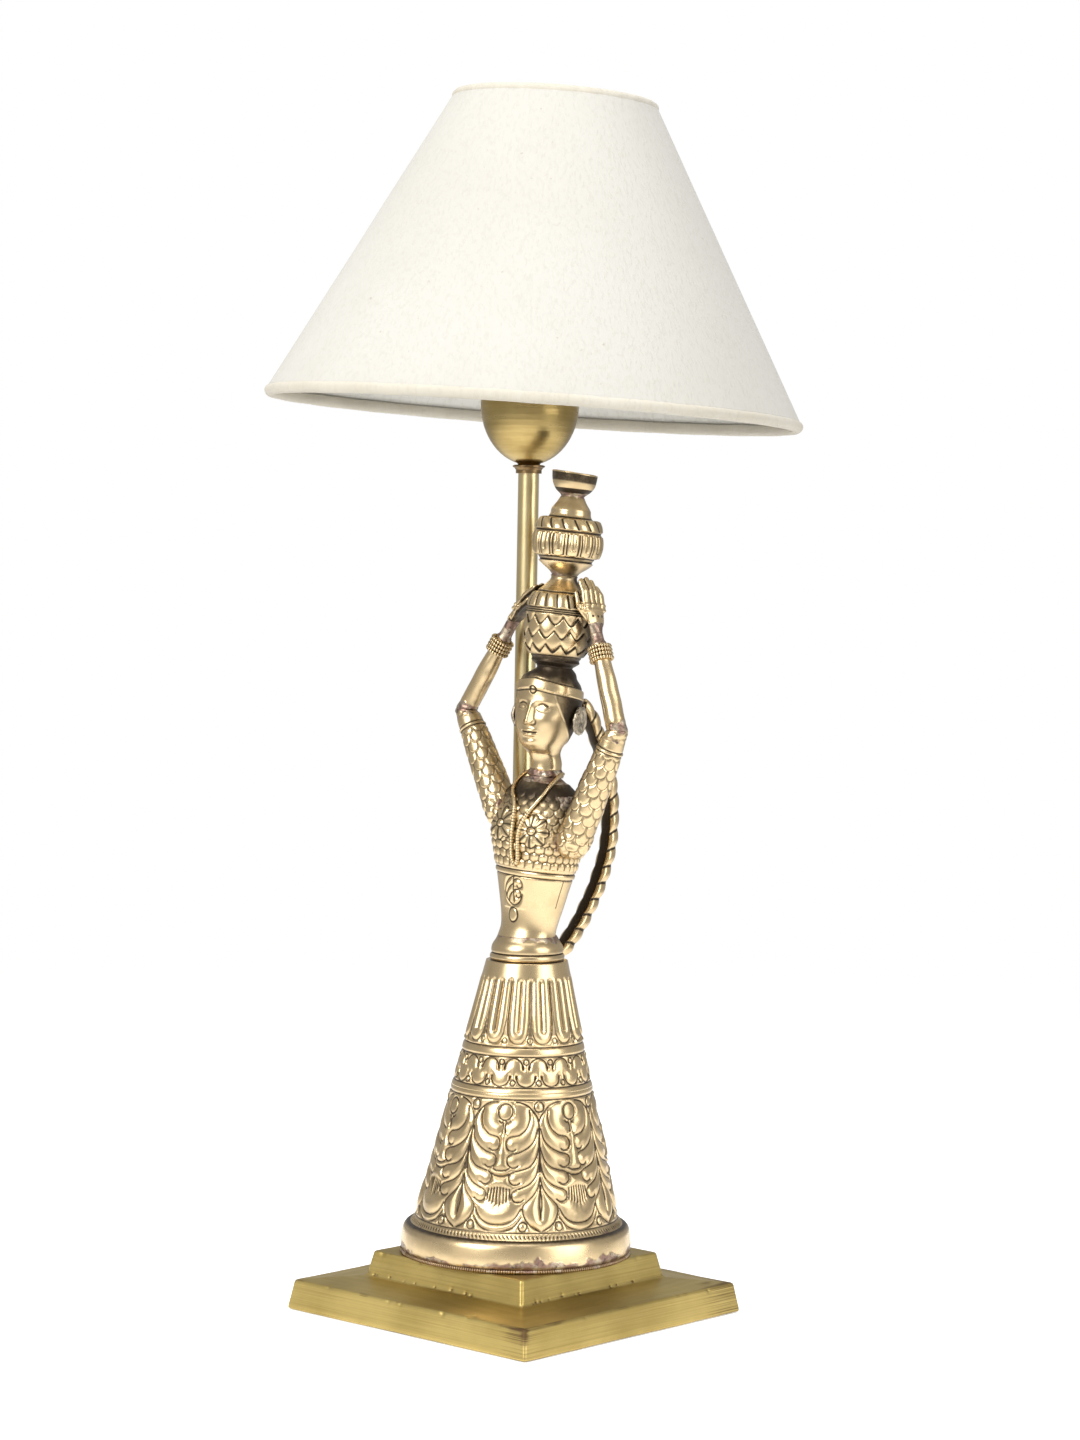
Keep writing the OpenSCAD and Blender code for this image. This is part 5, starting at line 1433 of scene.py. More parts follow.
def makePot(name, outline, size, patternOf, height, node, patina, solder, shadeSide):
    radius, rise = size
    corners = fine(curve([(v * rise, r * radius) for r, v in outline], 6), pots["spacing"])
    turns = np.arange(pots["sides"]) / pots["sides"] * 2 * math.pi
    r = np.array([p[1] for p in corners])[:, None]
    z = np.repeat(np.array([p[0] for p in corners])[:, None], len(turns), 1)
    piece = wrapRings(name, np.stack([r * np.cos(turns), r * np.sin(turns), z], 2))
    points = readPoints(piece)
    v = points[:, 2] / rise
    turn = np.degrees(np.arctan2(points[:, 1], points[:, 0]))
    relief, dark = patternOf(turn, v, np.hypot(points[:, 0], points[:, 1]), rise)
    inside = (v > 0.004) & (v < 0.996)
    # Painted shade: each pot darkens towards the camera's right, as much as shadeSide
    patinaAndShade = shadeSide * smoothStep(np.cos(np.radians(turn - places["leanSide"])), 0.35, 0.95)
    points += readNormals(piece) * ((relief + uneven(points, 11, len(name)) * 0.25) * inside)[:, None]
    writePoints(piece, points)
    patina = np.maximum(np.interp(v, *zip(*patina)), patinaAndShade + 0.12 * uneven(points, 8, 5))
    writeMask(piece, "patina", np.maximum(np.maximum(dark * 0.95, hollows(piece, 6, 0.5) * 0.4), patina))
    writeMask(piece, "solder", np.interp(v, *zip(*solder)))
    place = onPots @ Matrix.Translation((0, 0, height))
    finishOldBrass(piece, place, [node])


makePot(
    "lowerPot", pots["lower"], pots["lowerSize"], lowerPotRelief, 0, "lower_pot",
    [(0, 0.9), (0.1, 0.75), (0.16, 0.2), (0.3, 0.05), (0.6, 0.0), (0.85, 0.1), (1, 0.45)],
    [(0, 0.1), (0.1, 0.0), (0.9, 0.0), (1, 0.5)], 0.75,
)
makePot(
    "upperPot", pots["upper"], pots["upperSize"], upperPotRelief, pots["lowerSize"][1], "upper_pot",
    [(0, 0.6), (0.06, 0.3), (0.12, 0.0), (0.85, 0.0), (1, 0.35)],
    [(0, 0.6), (0.06, 0.35), (0.1, 0.0), (0.9, 0.0), (1, 0.6)], 0.4,
)


# The bowl sags a little towards the camera's right
def makeBowl():
    piece = spin("bowl", fine(curve(pots["bowl"], 4), 0.4) + [(0.4, 0.0)], 180, closed=True)
    points = readPoints(piece)
    out, z = np.hypot(points[:, 0], points[:, 1]), points[:, 2].copy()
    points += readNormals(piece) * (uneven(points, 9, 2) * 0.22)[:, None]
    tilt = np.arctan2(points[:, 1], points[:, 0]) - leanSide
    points[:, 2] -= np.cos(tilt) * out * 0.05 * smoothStep(z, 1, 9)
    writePoints(piece, points)
    outer = 0.7 * smoothStep(z, 5.4, 6.8) + 0.35 * (1 - smoothStep(z, 0.4, 1.6))
    writeMask(piece, "patina", np.where(out > 8.9, outer, 0.9) * (z < 10.1))
    writeMask(piece, "solder", 0.65 * (1 - smoothStep(z, 0.6, 2.2)))
    place = onPots @ Matrix.Translation((0, 0, pots["bowlFoot"]))
    finishOldBrass(piece, place, ["pot_bowl"])


makeBowl()
print("pots and bowl made")

# The arms: chased with scales to the elbow, bare below it, with four beaded bangles over the wrist
arms = {
    # shoulder, elbow, wrist, finger tips
    "left": ((25, -2, 51.9), (44.4, -1.5, 106.7), (24.1, 0, 149.8), (18.9, 0, 175.9)),
    "right": ((-20.8, -2, 61), (-51.8, -1.5, 106.3), (-31.1, 0, 147.4), (-13.0, -1, 172.2)),
    "arm": 8.2,
    "forearm": 4.7,
    "wrist": 2.9,
    "spacing": (0.36, 0.5),
    "sides": (170, 110),
    "scales": 7,
    "pitch": 4.7,
    # how much painted shade darkens the inner side of each arm, where it faces the body
    "innerShade": {"left": 0.75, "right": 0.35},
}
bangles = {"count": 4, "pitch": 1.9, "middle": 9.8, "ring": 4.9, "radius": 1.0, "beads": 24}


def unit(v):
    v = np.array(v, float)
    return v / np.linalg.norm(v)


# A limb's skin from rows of [way along, radius], cut square to a normal at either end
def limbSkin(name, start, end, rows, firstNormal, lastNormal, spacing, sides):
    start, end = np.array(start, float), np.array(end, float)
    way = unit(end - start)
    far = rows[-1][0]
    along = np.linspace(rows[0][0], far, int((far - rows[0][0]) / spacing) + 1)
    size = rowValues(rows, along)[0]
    angle = np.arange(sides) / sides * 2 * math.pi

    def spokes(normal):
        v = unit(np.array([0, 1.0, 0]) - normal * normal[1])
        u = np.cross(v, normal) / (normal @ way)
        return np.outer(np.cos(angle), u) + np.outer(np.sin(angle), v)

    first, middle, last = spokes(unit(firstNormal)), spokes(way), spokes(unit(lastNormal))
    toEnd = smoothStep(along, far - 5.5, far)[:, None, None]
    toStart = 1 - smoothStep(along, rows[0][0], rows[0][0] + 5.0)[:, None, None]
    spoke = middle + (last - middle) * toEnd + (first - middle) * toStart
    rings = start + way * along[:, None, None] + spoke * size[:, None, None]
    piece = wrapRings(name, rings)
    ring = np.concatenate([np.repeat(along, sides), [along[0], along[-1]]])
    turn = np.concatenate([np.tile(angle, len(along)), [0, 0]])
    return piece, readPoints(piece), ring, turn, np.interp(ring, along, size)


# The way that a limb cuts through its joint at b
def jointNormal(a, b, c):
    return unit(unit(np.subtract(b, a)) + unit(np.subtract(c, b)))


def makeUpperArm(name, which, node):
    a = arms
    shoulder, elbow, wrist = a[which][:3]
    long = math.dist(shoulder, elbow)
    r, f = a["arm"], a["forearm"]
    rows = [
        (-0.86 * r, 0.3 * r), (-0.68 * r, 0.66 * r), (-0.35 * r, 0.9 * r), (0.2 * r, r),
        (0.35 * long, 0.95 * r), (0.7 * long, 0.82 * r), (long - 5.5, f + 1.1), (long, f + 0.1),
    ]
    straight, joint = unit(np.subtract(elbow, shoulder)), jointNormal(shoulder, elbow, wrist)
    piece, points, along, turn, size = limbSkin(
        name, shoulder, elbow, rows, straight, joint, a["spacing"][0], a["sides"][0]
    )
    width = 2 * math.pi * size / a["scales"]
    count = int((long - 14) / a["pitch"]) + 3
    scales = turn / (2 * math.pi) * a["scales"]
    edges = scaleEdges(scales, width, along, -4.0, a["pitch"], count, -1, 1.7, 0.46)
    scaled = within(along, -7, -5, long - 12.2, long - 11.6)
    relief = scaled * (0.2 * (1 - closeTo(edges, 0.8)) - 0.26 * closeTo(edges, 0.3))
    dark = 0.7 * scaled * closeTo(edges, 0.3)
    for hem in (long - 10.8, long - 8.9):
        relief -= 0.35 * closeTo(along - hem)
        dark = np.maximum(dark, closeTo(along - hem, 0.4))
    relief += 0.45 * closeTo(along - long + 9.9, 0.7)
    free = np.minimum(smoothStep(along, rows[0][0], rows[0][0] + 1), 1 - smoothStep(along, long - 0.6, long))
    lumps = uneven(points, 12, 7) * 0.35
    lumps = lumps + smoothStep(along, long - 6, long - 3) * uneven(points, 3.4, 9) * 0.5
    shoulderLumps = (1 - smoothStep(along, 2, 9)) * uneven(points, 3.6, 4) * 0.9
    points += readNormals(piece) * ((relief + lumps + shoulderLumps) * free)[:, None]
    writePoints(piece, points)
    # Painted shade: the inner side, which faces the body, is darkened through the patina mask, and more so at
    # the shoulder
    inner = smoothStep(-np.sign(shoulder[0]) * np.cos(turn), 0.1, 0.8)
    shaded = a["innerShade"][which]
    patina = np.maximum(dark * 0.95, hollows(piece, 6, 0.45) * 0.45)
    patina = np.maximum(patina, inner * shaded + 0.12 * uneven(points, 10, 2))
    writeMask(piece, "patina", np.maximum(patina, (0.1 + shaded * inner) * (1 - smoothStep(along, -5, 3))))
    solder = (0.12 + 0.6 * inner) * (1 - smoothStep(along, 0, 8))
    writeMask(piece, "solder", np.maximum(solder, 0.5 * smoothStep(along, long - 7, long - 4)))
    finishOldBrass(piece, onFigure, [node])


def makeForearm(name, which, node):
    a = arms
    shoulder, elbow, wrist = a[which][:3]
    f = a["forearm"]
    reach = math.dist(elbow, wrist)
    seat = reach - bangles["middle"]
    rows = [
        (0, f + 0.1), (5, f), (0.5 * reach, 0.96 * f), (seat - 4.3, 4.0), (seat + 4.3, 3.8),
        (seat + 6.2, 3.1), (reach, a["wrist"]),
    ]
    straight, joint = unit(np.subtract(wrist, elbow)), jointNormal(shoulder, elbow, wrist)
    piece, points, along, turn, size = limbSkin(
        name, elbow, wrist, rows, joint, straight, a["spacing"][1], a["sides"][1]
    )
    relief = uneven(points, 9, 3) * 0.3 * smoothStep(along, 0, 2)
    dark = np.zeros(len(along))
    if which == "left":
        crease = (turn + 0.6 + along * 0.012) % (2 * math.pi)
        line = closeTo((crease - 5.2) * size, 0.35) * smoothStep(along, 6, 9)
        line = line * (1 - smoothStep(along, reach - 16, reach - 13))
        relief -= 0.4 * line
        dark = 0.9 * line
        knob = np.linalg.norm(points - np.array(elbow) - np.array([0.5, -f - 0.3, 2.0]), axis=1)
        relief += 1.1 * closeTo(knob, 1.8)
    lumps = (1 - smoothStep(along, 2, 7)) * uneven(points, 3.4, 9) * 0.5
    points += readNormals(piece) * ((relief + lumps) * (along > 0.2) * (along < reach - 0.2))[:, None]
    writePoints(piece, points)
    # Painted shade: the inner side of the forearm, which faces the body, is darkened through the patina mask
    inner = smoothStep(-np.sign(shoulder[0]) * np.cos(turn), 0.0, 0.9)
    shade = np.maximum(dark, 0.35 * inner + 0.2 * uneven(points, 8, 1))
    writeMask(piece, "patina", np.maximum(shade, 0.5 * smoothStep(along, seat + 3, seat + 5)))
    solder = np.maximum(0.6 * (1 - smoothStep(along, 2, 8)), 0.75 * smoothStep(along, seat + 3.5, seat + 5))
    writeMask(piece, "solder", np.maximum(solder, 0.35 * smoothStep(along, seat - 12, seat - 4)))
    finishOldBrass(piece, onFigure, [node])


makeUpperArm("armLeft", "left", "upper_arm_left")
makeForearm("armLeftLower", "left", "forearm_left")
makeUpperArm("armRight", "right", "upper_arm_right")
makeForearm("armRightLower", "right", "forearm_right")


# Stands the local Z axis along p to q, with local X kept near the X axis
def standAlong(p, q):
    way = unit(np.subtract(q, p))
    u = unit(np.array([1.0, 0, 0]) - way * way[0])
    v = np.cross(way, u)
    return Matrix([[u[k], v[k], way[k], p[k]] for k in range(3)] + [[0, 0, 0, 1]])


# Beaded bangles on each forearm
def makeBangles(name, which, node):
    c = bangles
    elbow, wrist = np.array(arms[which][1]), np.array(arms[which][2])
    rings = []
    for k in range(c["count"]):
        height = -c["middle"] + (k - (c["count"] - 1) / 2) * c["pitch"]
        rings.append(beadedRing(name + str(k), c["ring"], height, c["radius"], c["beads"], 8, 6, 0.34))
    pick(*rings)
    bpy.ops.object.join()
    piece = bpy.context.object
    piece.name = name
    points = readPoints(piece)
    points += readNormals(piece) * (uneven(points, 6, 5) * 0.12)[:, None]
    writePoints(piece, points)
    writeMask(piece, "solder", np.full(len(points), 0.22))
    place = onFigure @ standAlong(wrist, wrist + (wrist - elbow))
    finishOldBrass(piece, place, [node])


makeBangles("banglesLeft", "left", "bangles_left")
makeBangles("banglesRight", "right", "bangles_right")
print("arms and bangles made")

# The hands: cupped palms held up beside the pots, cast and roughly filed
hands = {
    "width": 13.6,
    "palmShare": 0.5,
    "tips": (0.97, 1.0, 0.96, 0.86),
    "voxel": 0.36,
}


# The smooth skin round two balls, each given as [place, radii]
def bridgeBalls(mesh, first, second):
    for place, radii in (first, second):
        for v in bmesh.ops.create_icosphere(mesh, subdivisions=3, radius=1.0)["verts"]:
            v.co = Vector([v.co[k] * radii[k] + place[k] for k in range(3)])
    hull = bmesh.ops.convex_hull(mesh, input=mesh.verts[:])
    inner = [v for v in hull["geom_interior"] if isinstance(v, bmesh.types.BMVert)]
    bmesh.ops.delete(mesh, geom=inner, context="VERTS")


# The pairs of flat balls that a hand is skinned over: heel, palm, thumb and four fingers
def handSpans(side, long):
    h = hands
    palm, wide, finger = long * h["palmShare"], h["width"], h["width"] / 4

    def flat(place, radius, thick):
        return (place, (thick, radius, radius))

    heel = ((0, 0, 0.2), (2.9, 2.9, 1.6))
    knuckle = flat((side * 3.4, -wide * 0.52, palm * 0.95), 1.9, 1.2)
    spans = [
        (heel, flat((0, 0, palm * 0.55), wide * 0.36, 1.6)),
        (flat((0, 0, palm * 0.5), wide * 0.42, 1.5), flat((side * 0.6, 0, palm * 0.86), wide * 0.46, 1.4)),
        (flat((0, -1.2, palm * 0.3), 2.0, 1.4), knuckle),
        (knuckle, flat((side * 5, -wide * 0.5, palm * 1.45), 1.6, 1.1)),
    ]
    for i, share in enumerate(h["tips"]):
        y, top = (i - 1.5) * finger, long * share
        root = flat((side * 0.6, y, palm * 0.9), finger * 0.72, 1.5)
        middle = flat((side * 1.4, y, (palm + top) / 2), finger * 0.7, 1.45)
        end = flat((side * 3.4, y, top - finger * 0.45), finger * 0.6, 1.2)
        spans += [(root, middle), (middle, end)]
    return spans


def makeHand(name, which, side, node):
    h = hands
    wrist, tip = np.array(arms[which][2]), np.array(arms[which][3])
    long = math.dist(wrist, tip)
    palm, finger = long * h["palmShare"], h["width"] / 4
    parts = []
    for first, second in handSpans(side, long):
        mesh = bmesh.new()
        bridgeBalls(mesh, first, second)
        part = newMesh(name + "Part", [])
        mesh.to_mesh(part.data)
        mesh.free()
        parts.append(part)
    pick(*parts)
    bpy.ops.object.join()
    piece = bpy.context.object
    piece.name = name
    remesh = piece.modifiers.new("oneSkin", "REMESH")
    remesh.mode, remesh.voxel_size = "VOXEL", h["voxel"]
    soften = piece.modifiers.new("soften", "SMOOTH")
    soften.factor, soften.iterations = 0.5, 3
    applyModifiers(piece)
    points = readPoints(piece)
    y, z = points[:, 1], points[:, 2]
    outward = readNormals(piece)
    back = -side * outward[:, 0]
    relief = uneven(points, 6, 6) * 0.14
    for line in (palm * 0.84, palm * 0.84 + 2.4):
        relief += 0.42 * closeTo(z - line, 0.55) * (back > 0.2)
    between = (y / finger) % 1
    between = np.minimum(between, 1 - between) * finger
    fingers = smoothStep(z, palm * 0.9, palm * 1.1) * (np.abs(y) < finger * 1.4)
    relief -= 0.35 * closeTo(between, 0.45) * fingers * (back > 0.1)
    writePoints(piece, points + outward * relief[:, None])
    dark = np.maximum(0.85 * closeTo(between, 0.42) * fingers, hollows(piece, 6, 0.5) * 0.5)
    for spot in (-1, 0, 1):
        hole = np.hypot(y - spot * finger * 0.9, z - palm * 0.62)
        dark = np.maximum(dark, closeTo(hole, 0.75) * (back > 0.3))
    # Painted shade: the palm side, which faces the pots, is darkened through the patina mask
    palmSide = smoothStep(-back, 0.15, 0.6)
    dark = np.maximum(dark, 0.75 * palmSide + 0.25 * uneven(points, 5, 2) * palmSide)
    writeMask(piece, "patina", dark)
    writeMask(piece, "solder", np.maximum(0.75 * (1 - smoothStep(z, palm * 0.25, palm * 0.55)), 0.18))
    place = onFigure @ standAlong(wrist, tip)
    finishOldBrass(piece, place, [node])


makeHand("handLeft", "left", -1, "hand_left")
makeHand("handRight", "right", 1, "hand_right")
print("hands made")


# A tube along a line of points; its radius may change from ring to ring
def tubeAlong(name, path, radius, sides, closed=False):
    path = np.array(path, float)
    ahead = np.roll(path, -1, 0) - np.roll(path, 1, 0) if closed else np.gradient(path, axis=0)
    ahead /= np.linalg.norm(ahead, axis=1)[:, None]
    aside = np.cross(ahead, np.array([0, 1.0, 0.25]))
    aside /= np.linalg.norm(aside, axis=1)[:, None]
    up = np.cross(ahead, aside)
    angle = np.arange(sides) / sides * 2 * math.pi
    offset = aside[:, None] * np.cos(angle)[:, None] + up[:, None] * np.sin(angle)[:, None]
    return wrapRings(name, path[:, None] + offset * np.reshape(radius, (-1, 1, 1)), closed)


# The necklace hangs in a long narrow loop from the neck to the hem
necklace = {
    "wire": 0.95,
    "spacing": 0.32,
    "sides": 10,
    "notch": 1.5,
    "gap": 1.15,  # from the bodice's round form to the wire's middle
    # across, deep (on the bodice where it is None), height
    "path": [
        (-6.5, 7.0, 82.2), (-9.6, 1.0, 81.6), (-10.6, None, 77.5), (-8.5, None, 73), (-4.0, None, 68),
        (-1.4, None, 62), (-0.5, None, 54.5), (-0.4, None, 46.5), (0.2, None, 41.5), (2.0, None, 38.8),
        (3.6, None, 41), (3.4, None, 46.5), (3.6, None, 54.5), (5.7, None, 62), (8.6, None, 68),
        (10.5, None, 72.5), (10.9, None, 77), (9.8, 1.0, 81.6), (6.5, 7.0, 82.2),
    ],
}


def chestFront(x, z):
    across, deep = rowValues(torso["rows"], np.array([z]))
    return torso["back"] - deep[0] * math.sqrt(max(0.05, 1 - (x / across[0]) ** 2))


def makeNecklace():
    c = necklace
    line = [(x, chestFront(x, z) - c["gap"] if y is None else y, z) for x, y, z in c["path"]]
    line = fine(curve(line, 5), c["spacing"])
    height = np.array([p[2] for p in line])
    notched = 1 - smoothStep(height, 63, 67)
    length = np.arange(len(line)) * c["spacing"]
    beads = np.abs(np.sin(length * math.pi / c["notch"]))
    piece = tubeAlong("necklaceWire", line, c["wire"] * (1 + 0.28 * notched * beads), c["sides"])
    ringDark = np.repeat(notched * (1 - beads) ** 2, c["sides"])
    writeMask(piece, "patina", np.concatenate([ringDark, [0, 0]]))
    writeMask(piece, "solder", np.full(len(piece.data.vertices), 0.15))
    finishOldBrass(piece, onFigure, ["necklace"])


makeNecklace()

# The braid: a twisted rope outside and a flat strip inside, painted dark as shade where it faces the figure
braid = {
    # way back from the figure's axis, height
    "line": [
        (22.9, 116), (28, 110.5), (35.6, 100), (43, 88), (48.4, 76), (51.6, 62), (51.9, 46), (47.6, 30),
        (39.6, 14), (30.6, 2), (22.2, -6.5),
    ],
    "half": 4.1,
    "thick": 7.0,
    "twist": 8.6,
    "spacing": 0.5,
    "sides": 96,
}


def makeBraid():
    b = braid
    path = np.array(fine(curve(b["line"], 6), b["spacing"]))
    ahead = np.gradient(path, axis=0)
    ahead /= np.linalg.norm(ahead, axis=1)[:, None]
    out = np.stack([np.zeros(len(path)), -ahead[:, 1], ahead[:, 0]], 1)
    middle = np.stack([np.zeros(len(path)), path[:, 0], path[:, 1]], 1)
    length = np.concatenate([[0], np.cumsum(np.linalg.norm(np.diff(path, axis=0), axis=1))])
    angle = np.arange(b["sides"]) / b["sides"] * 2 * math.pi
    outer, depth = np.sin(angle) > 0, np.abs(np.sin(angle))
    rope = np.sin(angle) > -0.78
    shape = np.where(outer, depth**0.8 * 0.62, -(depth**0.6) * 0.4) * b["thick"]
    turn = np.where(angle > 1.5 * math.pi, angle - 2 * math.pi, angle)
    phase = length[:, None] / b["twist"] + turn[None] / math.pi * 0.75
    strand = np.abs(np.sin(math.pi * phase))
    swell = np.where(outer, (strand**0.6 - 0.75) * 1.1 * depth**0.5, 0.0)
    ends = np.minimum(1, 0.62 + 0.055 * np.minimum(length, length[-1] - length) ** 0.9)[:, None]
    side = np.cos(angle)[None] * (b["half"] + 0.8 * (strand - 0.6) * rope) * ends
    height = (shape[None] + swell) * ends
    rings = middle[:, None] + out[:, None] * height[..., None]
    rings[..., 0] += side
    piece = wrapRings("braidRope", rings)
    points = readPoints(piece)
    points += readNormals(piece) * (uneven(points, 9, 4) * 0.25)[:, None]
    writePoints(piece, points)
    # Painted shade: the flat inner strip, which faces the figure, is almost black; the grooves between the
    # strands are dark
    dark = np.where(rope[None], closeTo(strand, 0.3), 0.96) * np.ones((len(path), 1))
    writeMask(piece, "patina", np.concatenate([dark.ravel(), [0.9, 0.9]]))
    foot = np.clip(0.55 - (length[-1] - length) / 14, 0, 1)
    writeMask(piece, "solder", np.concatenate([np.repeat(foot, b["sides"]), [0.5, 0.5]]))
    finishOldBrass(piece, onFigure, ["braid"])


makeBraid()
print("necklace and braid made")

# The base: a square casting in two steps, filed by hand, with burnt patches, nicks and casting pits
base = {
    "corner": 1.3,
    "perSide": 190,
    "cornerSteps": 7,
    # half the width, height; the first four are the underside and its rim
    "section": [
        (70.0, 1.35), (74.7, 1.35), (74.9, 0.5), (75.6, 0.4),
        (76.1, 0.9), (76.0, 2.4), (74.1, 13.2), (73.75, 13.95), (73.1, 14.3), (71.8, 14.4), (51.6, 16.55),
        (50.5, 16.9), (49.9, 17.6), (49.65, 18.6), (47.75, 27.5), (47.5, 28.1), (46.9, 28.4), (44.0, 28.4),
    ],
    "spacing": 0.62,
    "nicks": 22,
    "nickSize": (0.7, 1.9),
    "nickDepth": (0.2, 0.55),
    "pits": 44,
    "pitReach": 46,
    "pitOut": 49.8,
    "pitHeight": (17.0, 18.3),
    "pitSize": (0.5, 1.1),
    "bushAt": (0, 75.0, 7.6),
    "bushRadius": 5.75,
    "boreDepth": 16,
}


# Places on a square's outline, one set of rings for each side and its rounded corner
def squareRings(half, z, b):
    run = np.linspace(-1, 1, b["perSide"])
    turn = np.radians(np.linspace(-45, 45, b["cornerSteps"]))[1:-1]
    rings = []
    for k in range(4):
        quarter = k * math.pi / 2
        out, along = (math.cos(quarter), math.sin(quarter)), (-math.sin(quarter), math.cos(quarter))
        straight = run[None] * (half - b["corner"])
        side = [half * out[n] + straight * along[n] for n in range(2)]
        rings.append(np.stack(side + [z + 0 * straight], 2))
        angle = quarter + math.pi / 4 + turn[None]
        middle = [(half - b["corner"]) * (out[n] + along[n]) for n in range(2)]
        arc = [middle[0] + b["corner"] * np.cos(angle), middle[1] + b["corner"] * np.sin(angle)]
        rings.append(np.stack(arc + [z + 0 * angle], 2))
    return np.concatenate(rings, 1)


# The hole for the cord's inlet bush
def boreBase(piece, b):
    bpy.ops.mesh.primitive_cylinder_add(
        vertices=64, radius=b["bushRadius"], depth=b["boreDepth"], location=b["bushAt"],
        rotation=(math.pi / 2, 0, 0),
    )
    bore = bpy.context.object
    cut = piece.modifiers.new("bushBore", "BOOLEAN")
    cut.operation, cut.object, cut.solver = "DIFFERENCE", bore, "EXACT"
    applyModifiers(piece)
    bpy.data.objects.remove(bore)


def makeBase():
    b = base
    corners = fine(b["section"], b["spacing"])
    half = np.array([p[0] for p in corners])[:, None]
    piece = wrapRings("baseCasting", squareRings(half, np.array([p[1] for p in corners])[:, None], b))
    points = readPoints(piece)
    outward = readNormals(piece)
    z = points[:, 2].copy()
    wide = np.maximum(np.abs(points[:, 0]), np.abs(points[:, 1]))
    square = np.interp(z, [p[1] for p in b["section"][4:]], [p[0] for p in b["section"][4:]])
    relief = uneven(points, 75, 2) * 0.4 + uneven(points, 19, 3) * 0.12
    edge = np.maximum(closeTo(z - 14.0, 1.0) * (wide > 72), closeTo(z - 28.0, 0.9) * (wide > 46.4))
    second = np.minimum(np.abs(points[:, 0]), np.abs(points[:, 1]))
    upright = closeTo(square - second, 2.2) * (np.abs(outward[:, 2]) < 0.6)
    edge = np.maximum(edge, upright)
    edge = np.maximum(edge, 0.6 * closeTo(z - 0.8, 1.0))
    random = np.random.default_rng(11)
    rims = np.flatnonzero((edge > 0.75) & (wide > 40))
    for k in random.choice(rims, b["nicks"]):
        away = np.linalg.norm(points - points[k], axis=1)
        size = random.uniform(*b["nickSize"])
        relief -= random.uniform(*b["nickDepth"]) * closeTo(away, size)
    pits = np.zeros(len(points))
    for _ in range(b["pits"]):
        side, at = random.integers(4), random.uniform(-b["pitReach"], b["pitReach"])
        height, size = random.uniform(*b["pitHeight"]), random.uniform(*b["pitSize"])
        out = b["pitOut"]
        place = [(at, -out, height), (out, at, height), (at, out, height), (-out, at, height)][side]
        pits = np.maximum(pits, closeTo(np.linalg.norm(points - np.array(place), axis=1), size))
    relief -= 0.35 * pits
    writePoints(piece, points + outward * relief[:, None])
    burnt = smoothStep(uneven(points, 30, 6) + 0.35 * uneven(points, 9, 7), 0.12, 0.5)
    front = closeTo(np.hypot(points[:, 0] - 72, points[:, 1] + 72), 16)
    far = closeTo(np.hypot(points[:, 0] - 74, points[:, 1] - 66), 22)
    footLine = 0.32 * closeTo(z - 17.4, 1.1) * (wide < 51.5)
    under = 0.85 * smoothStep(53.5 - np.hypot(points[:, 0], points[:, 1]), 0, 3) * (z > 28.0)
    mask = edge * (0.1 + 0.32 * burnt) + 0.42 * front + 0.5 * far + 0.16 * burnt + footLine + under
    writeMask(piece, "edge", mask + 0.7 * pits)
    boreBase(piece, b)
    finish(piece, "stand", materials["baseBrass"], millimetres, ["base_casting"], smooth=False)
    pick(piece)
    bpy.ops.object.shade_smooth_by_angle(angle=math.radians(50))


deselectAll()
makeBase()

# Pressed felt under the base
felt = {
    "half": 74.4,
    "thick": 1.3,
    "edge": (0.2, 0.25),  # how much its edges are rounded, across and up
    "spacing": 0.3,
    "corner": 2.5,
    "cornerSteps": 9,
}


def makeFelt():
    c = felt
    half, thick, (inset, rise) = c["half"], c["thick"], c["edge"]
    section = [(half - inset, 0.0), (half, rise), (half, thick - rise), (half - inset, thick)]
    rings = []
    for reach, z in fine(section, c["spacing"]):
        ring = []
        for k in range(4):
            turn = k * math.pi / 2
            for angle in np.radians(np.linspace(-45, 45, c["cornerSteps"])):
                x = reach - c["corner"] + c["corner"] * math.cos(math.pi / 4 + angle)
                y = reach - c["corner"] + c["corner"] * math.sin(math.pi / 4 + angle)
                across = x * math.cos(turn) - y * math.sin(turn)
                ring.append((across, x * math.sin(turn) + y * math.cos(turn), z))
        rings.append(ring)
    rings = np.array(rings)
    rings[..., :2] += np.array([uneven(r, 7, 3) for r in rings])[..., None] * 0.15
    feltPad = wrapRings("feltPad", rings)
    finish(feltPad, "stand", materials["felt"], millimetres, ["base_felt"])


makeFelt()
print("base and felt made")

# The shade: linen over a white lining, rolled round a wire at both rims
shade = {
    "low": (126.0, 427.8),
    "high": (46.62, 573.7),
    "cover": (1.55, 2.15),
    "lining": (1.17, 1.5),
    "hem": 2.75,
    "hemSteps": 720,
    "hemSides": 20,
    "shift": 3.1,
    "sides": 256,
    "spacing": 2.4,
    "coverFlat": (0.533, 0.260),
    "coverArea": 0.0918,
    "liningFlat": (0.533, 0.260),
    "liningArea": 0.0878,
}
onCloth = onShade @ Matrix.Translation((shade["shift"], 0, 0))
slant = unit(np.subtract(shade["high"], shade["low"]))
slantOut = np.array([slant[1], -slant[0]])


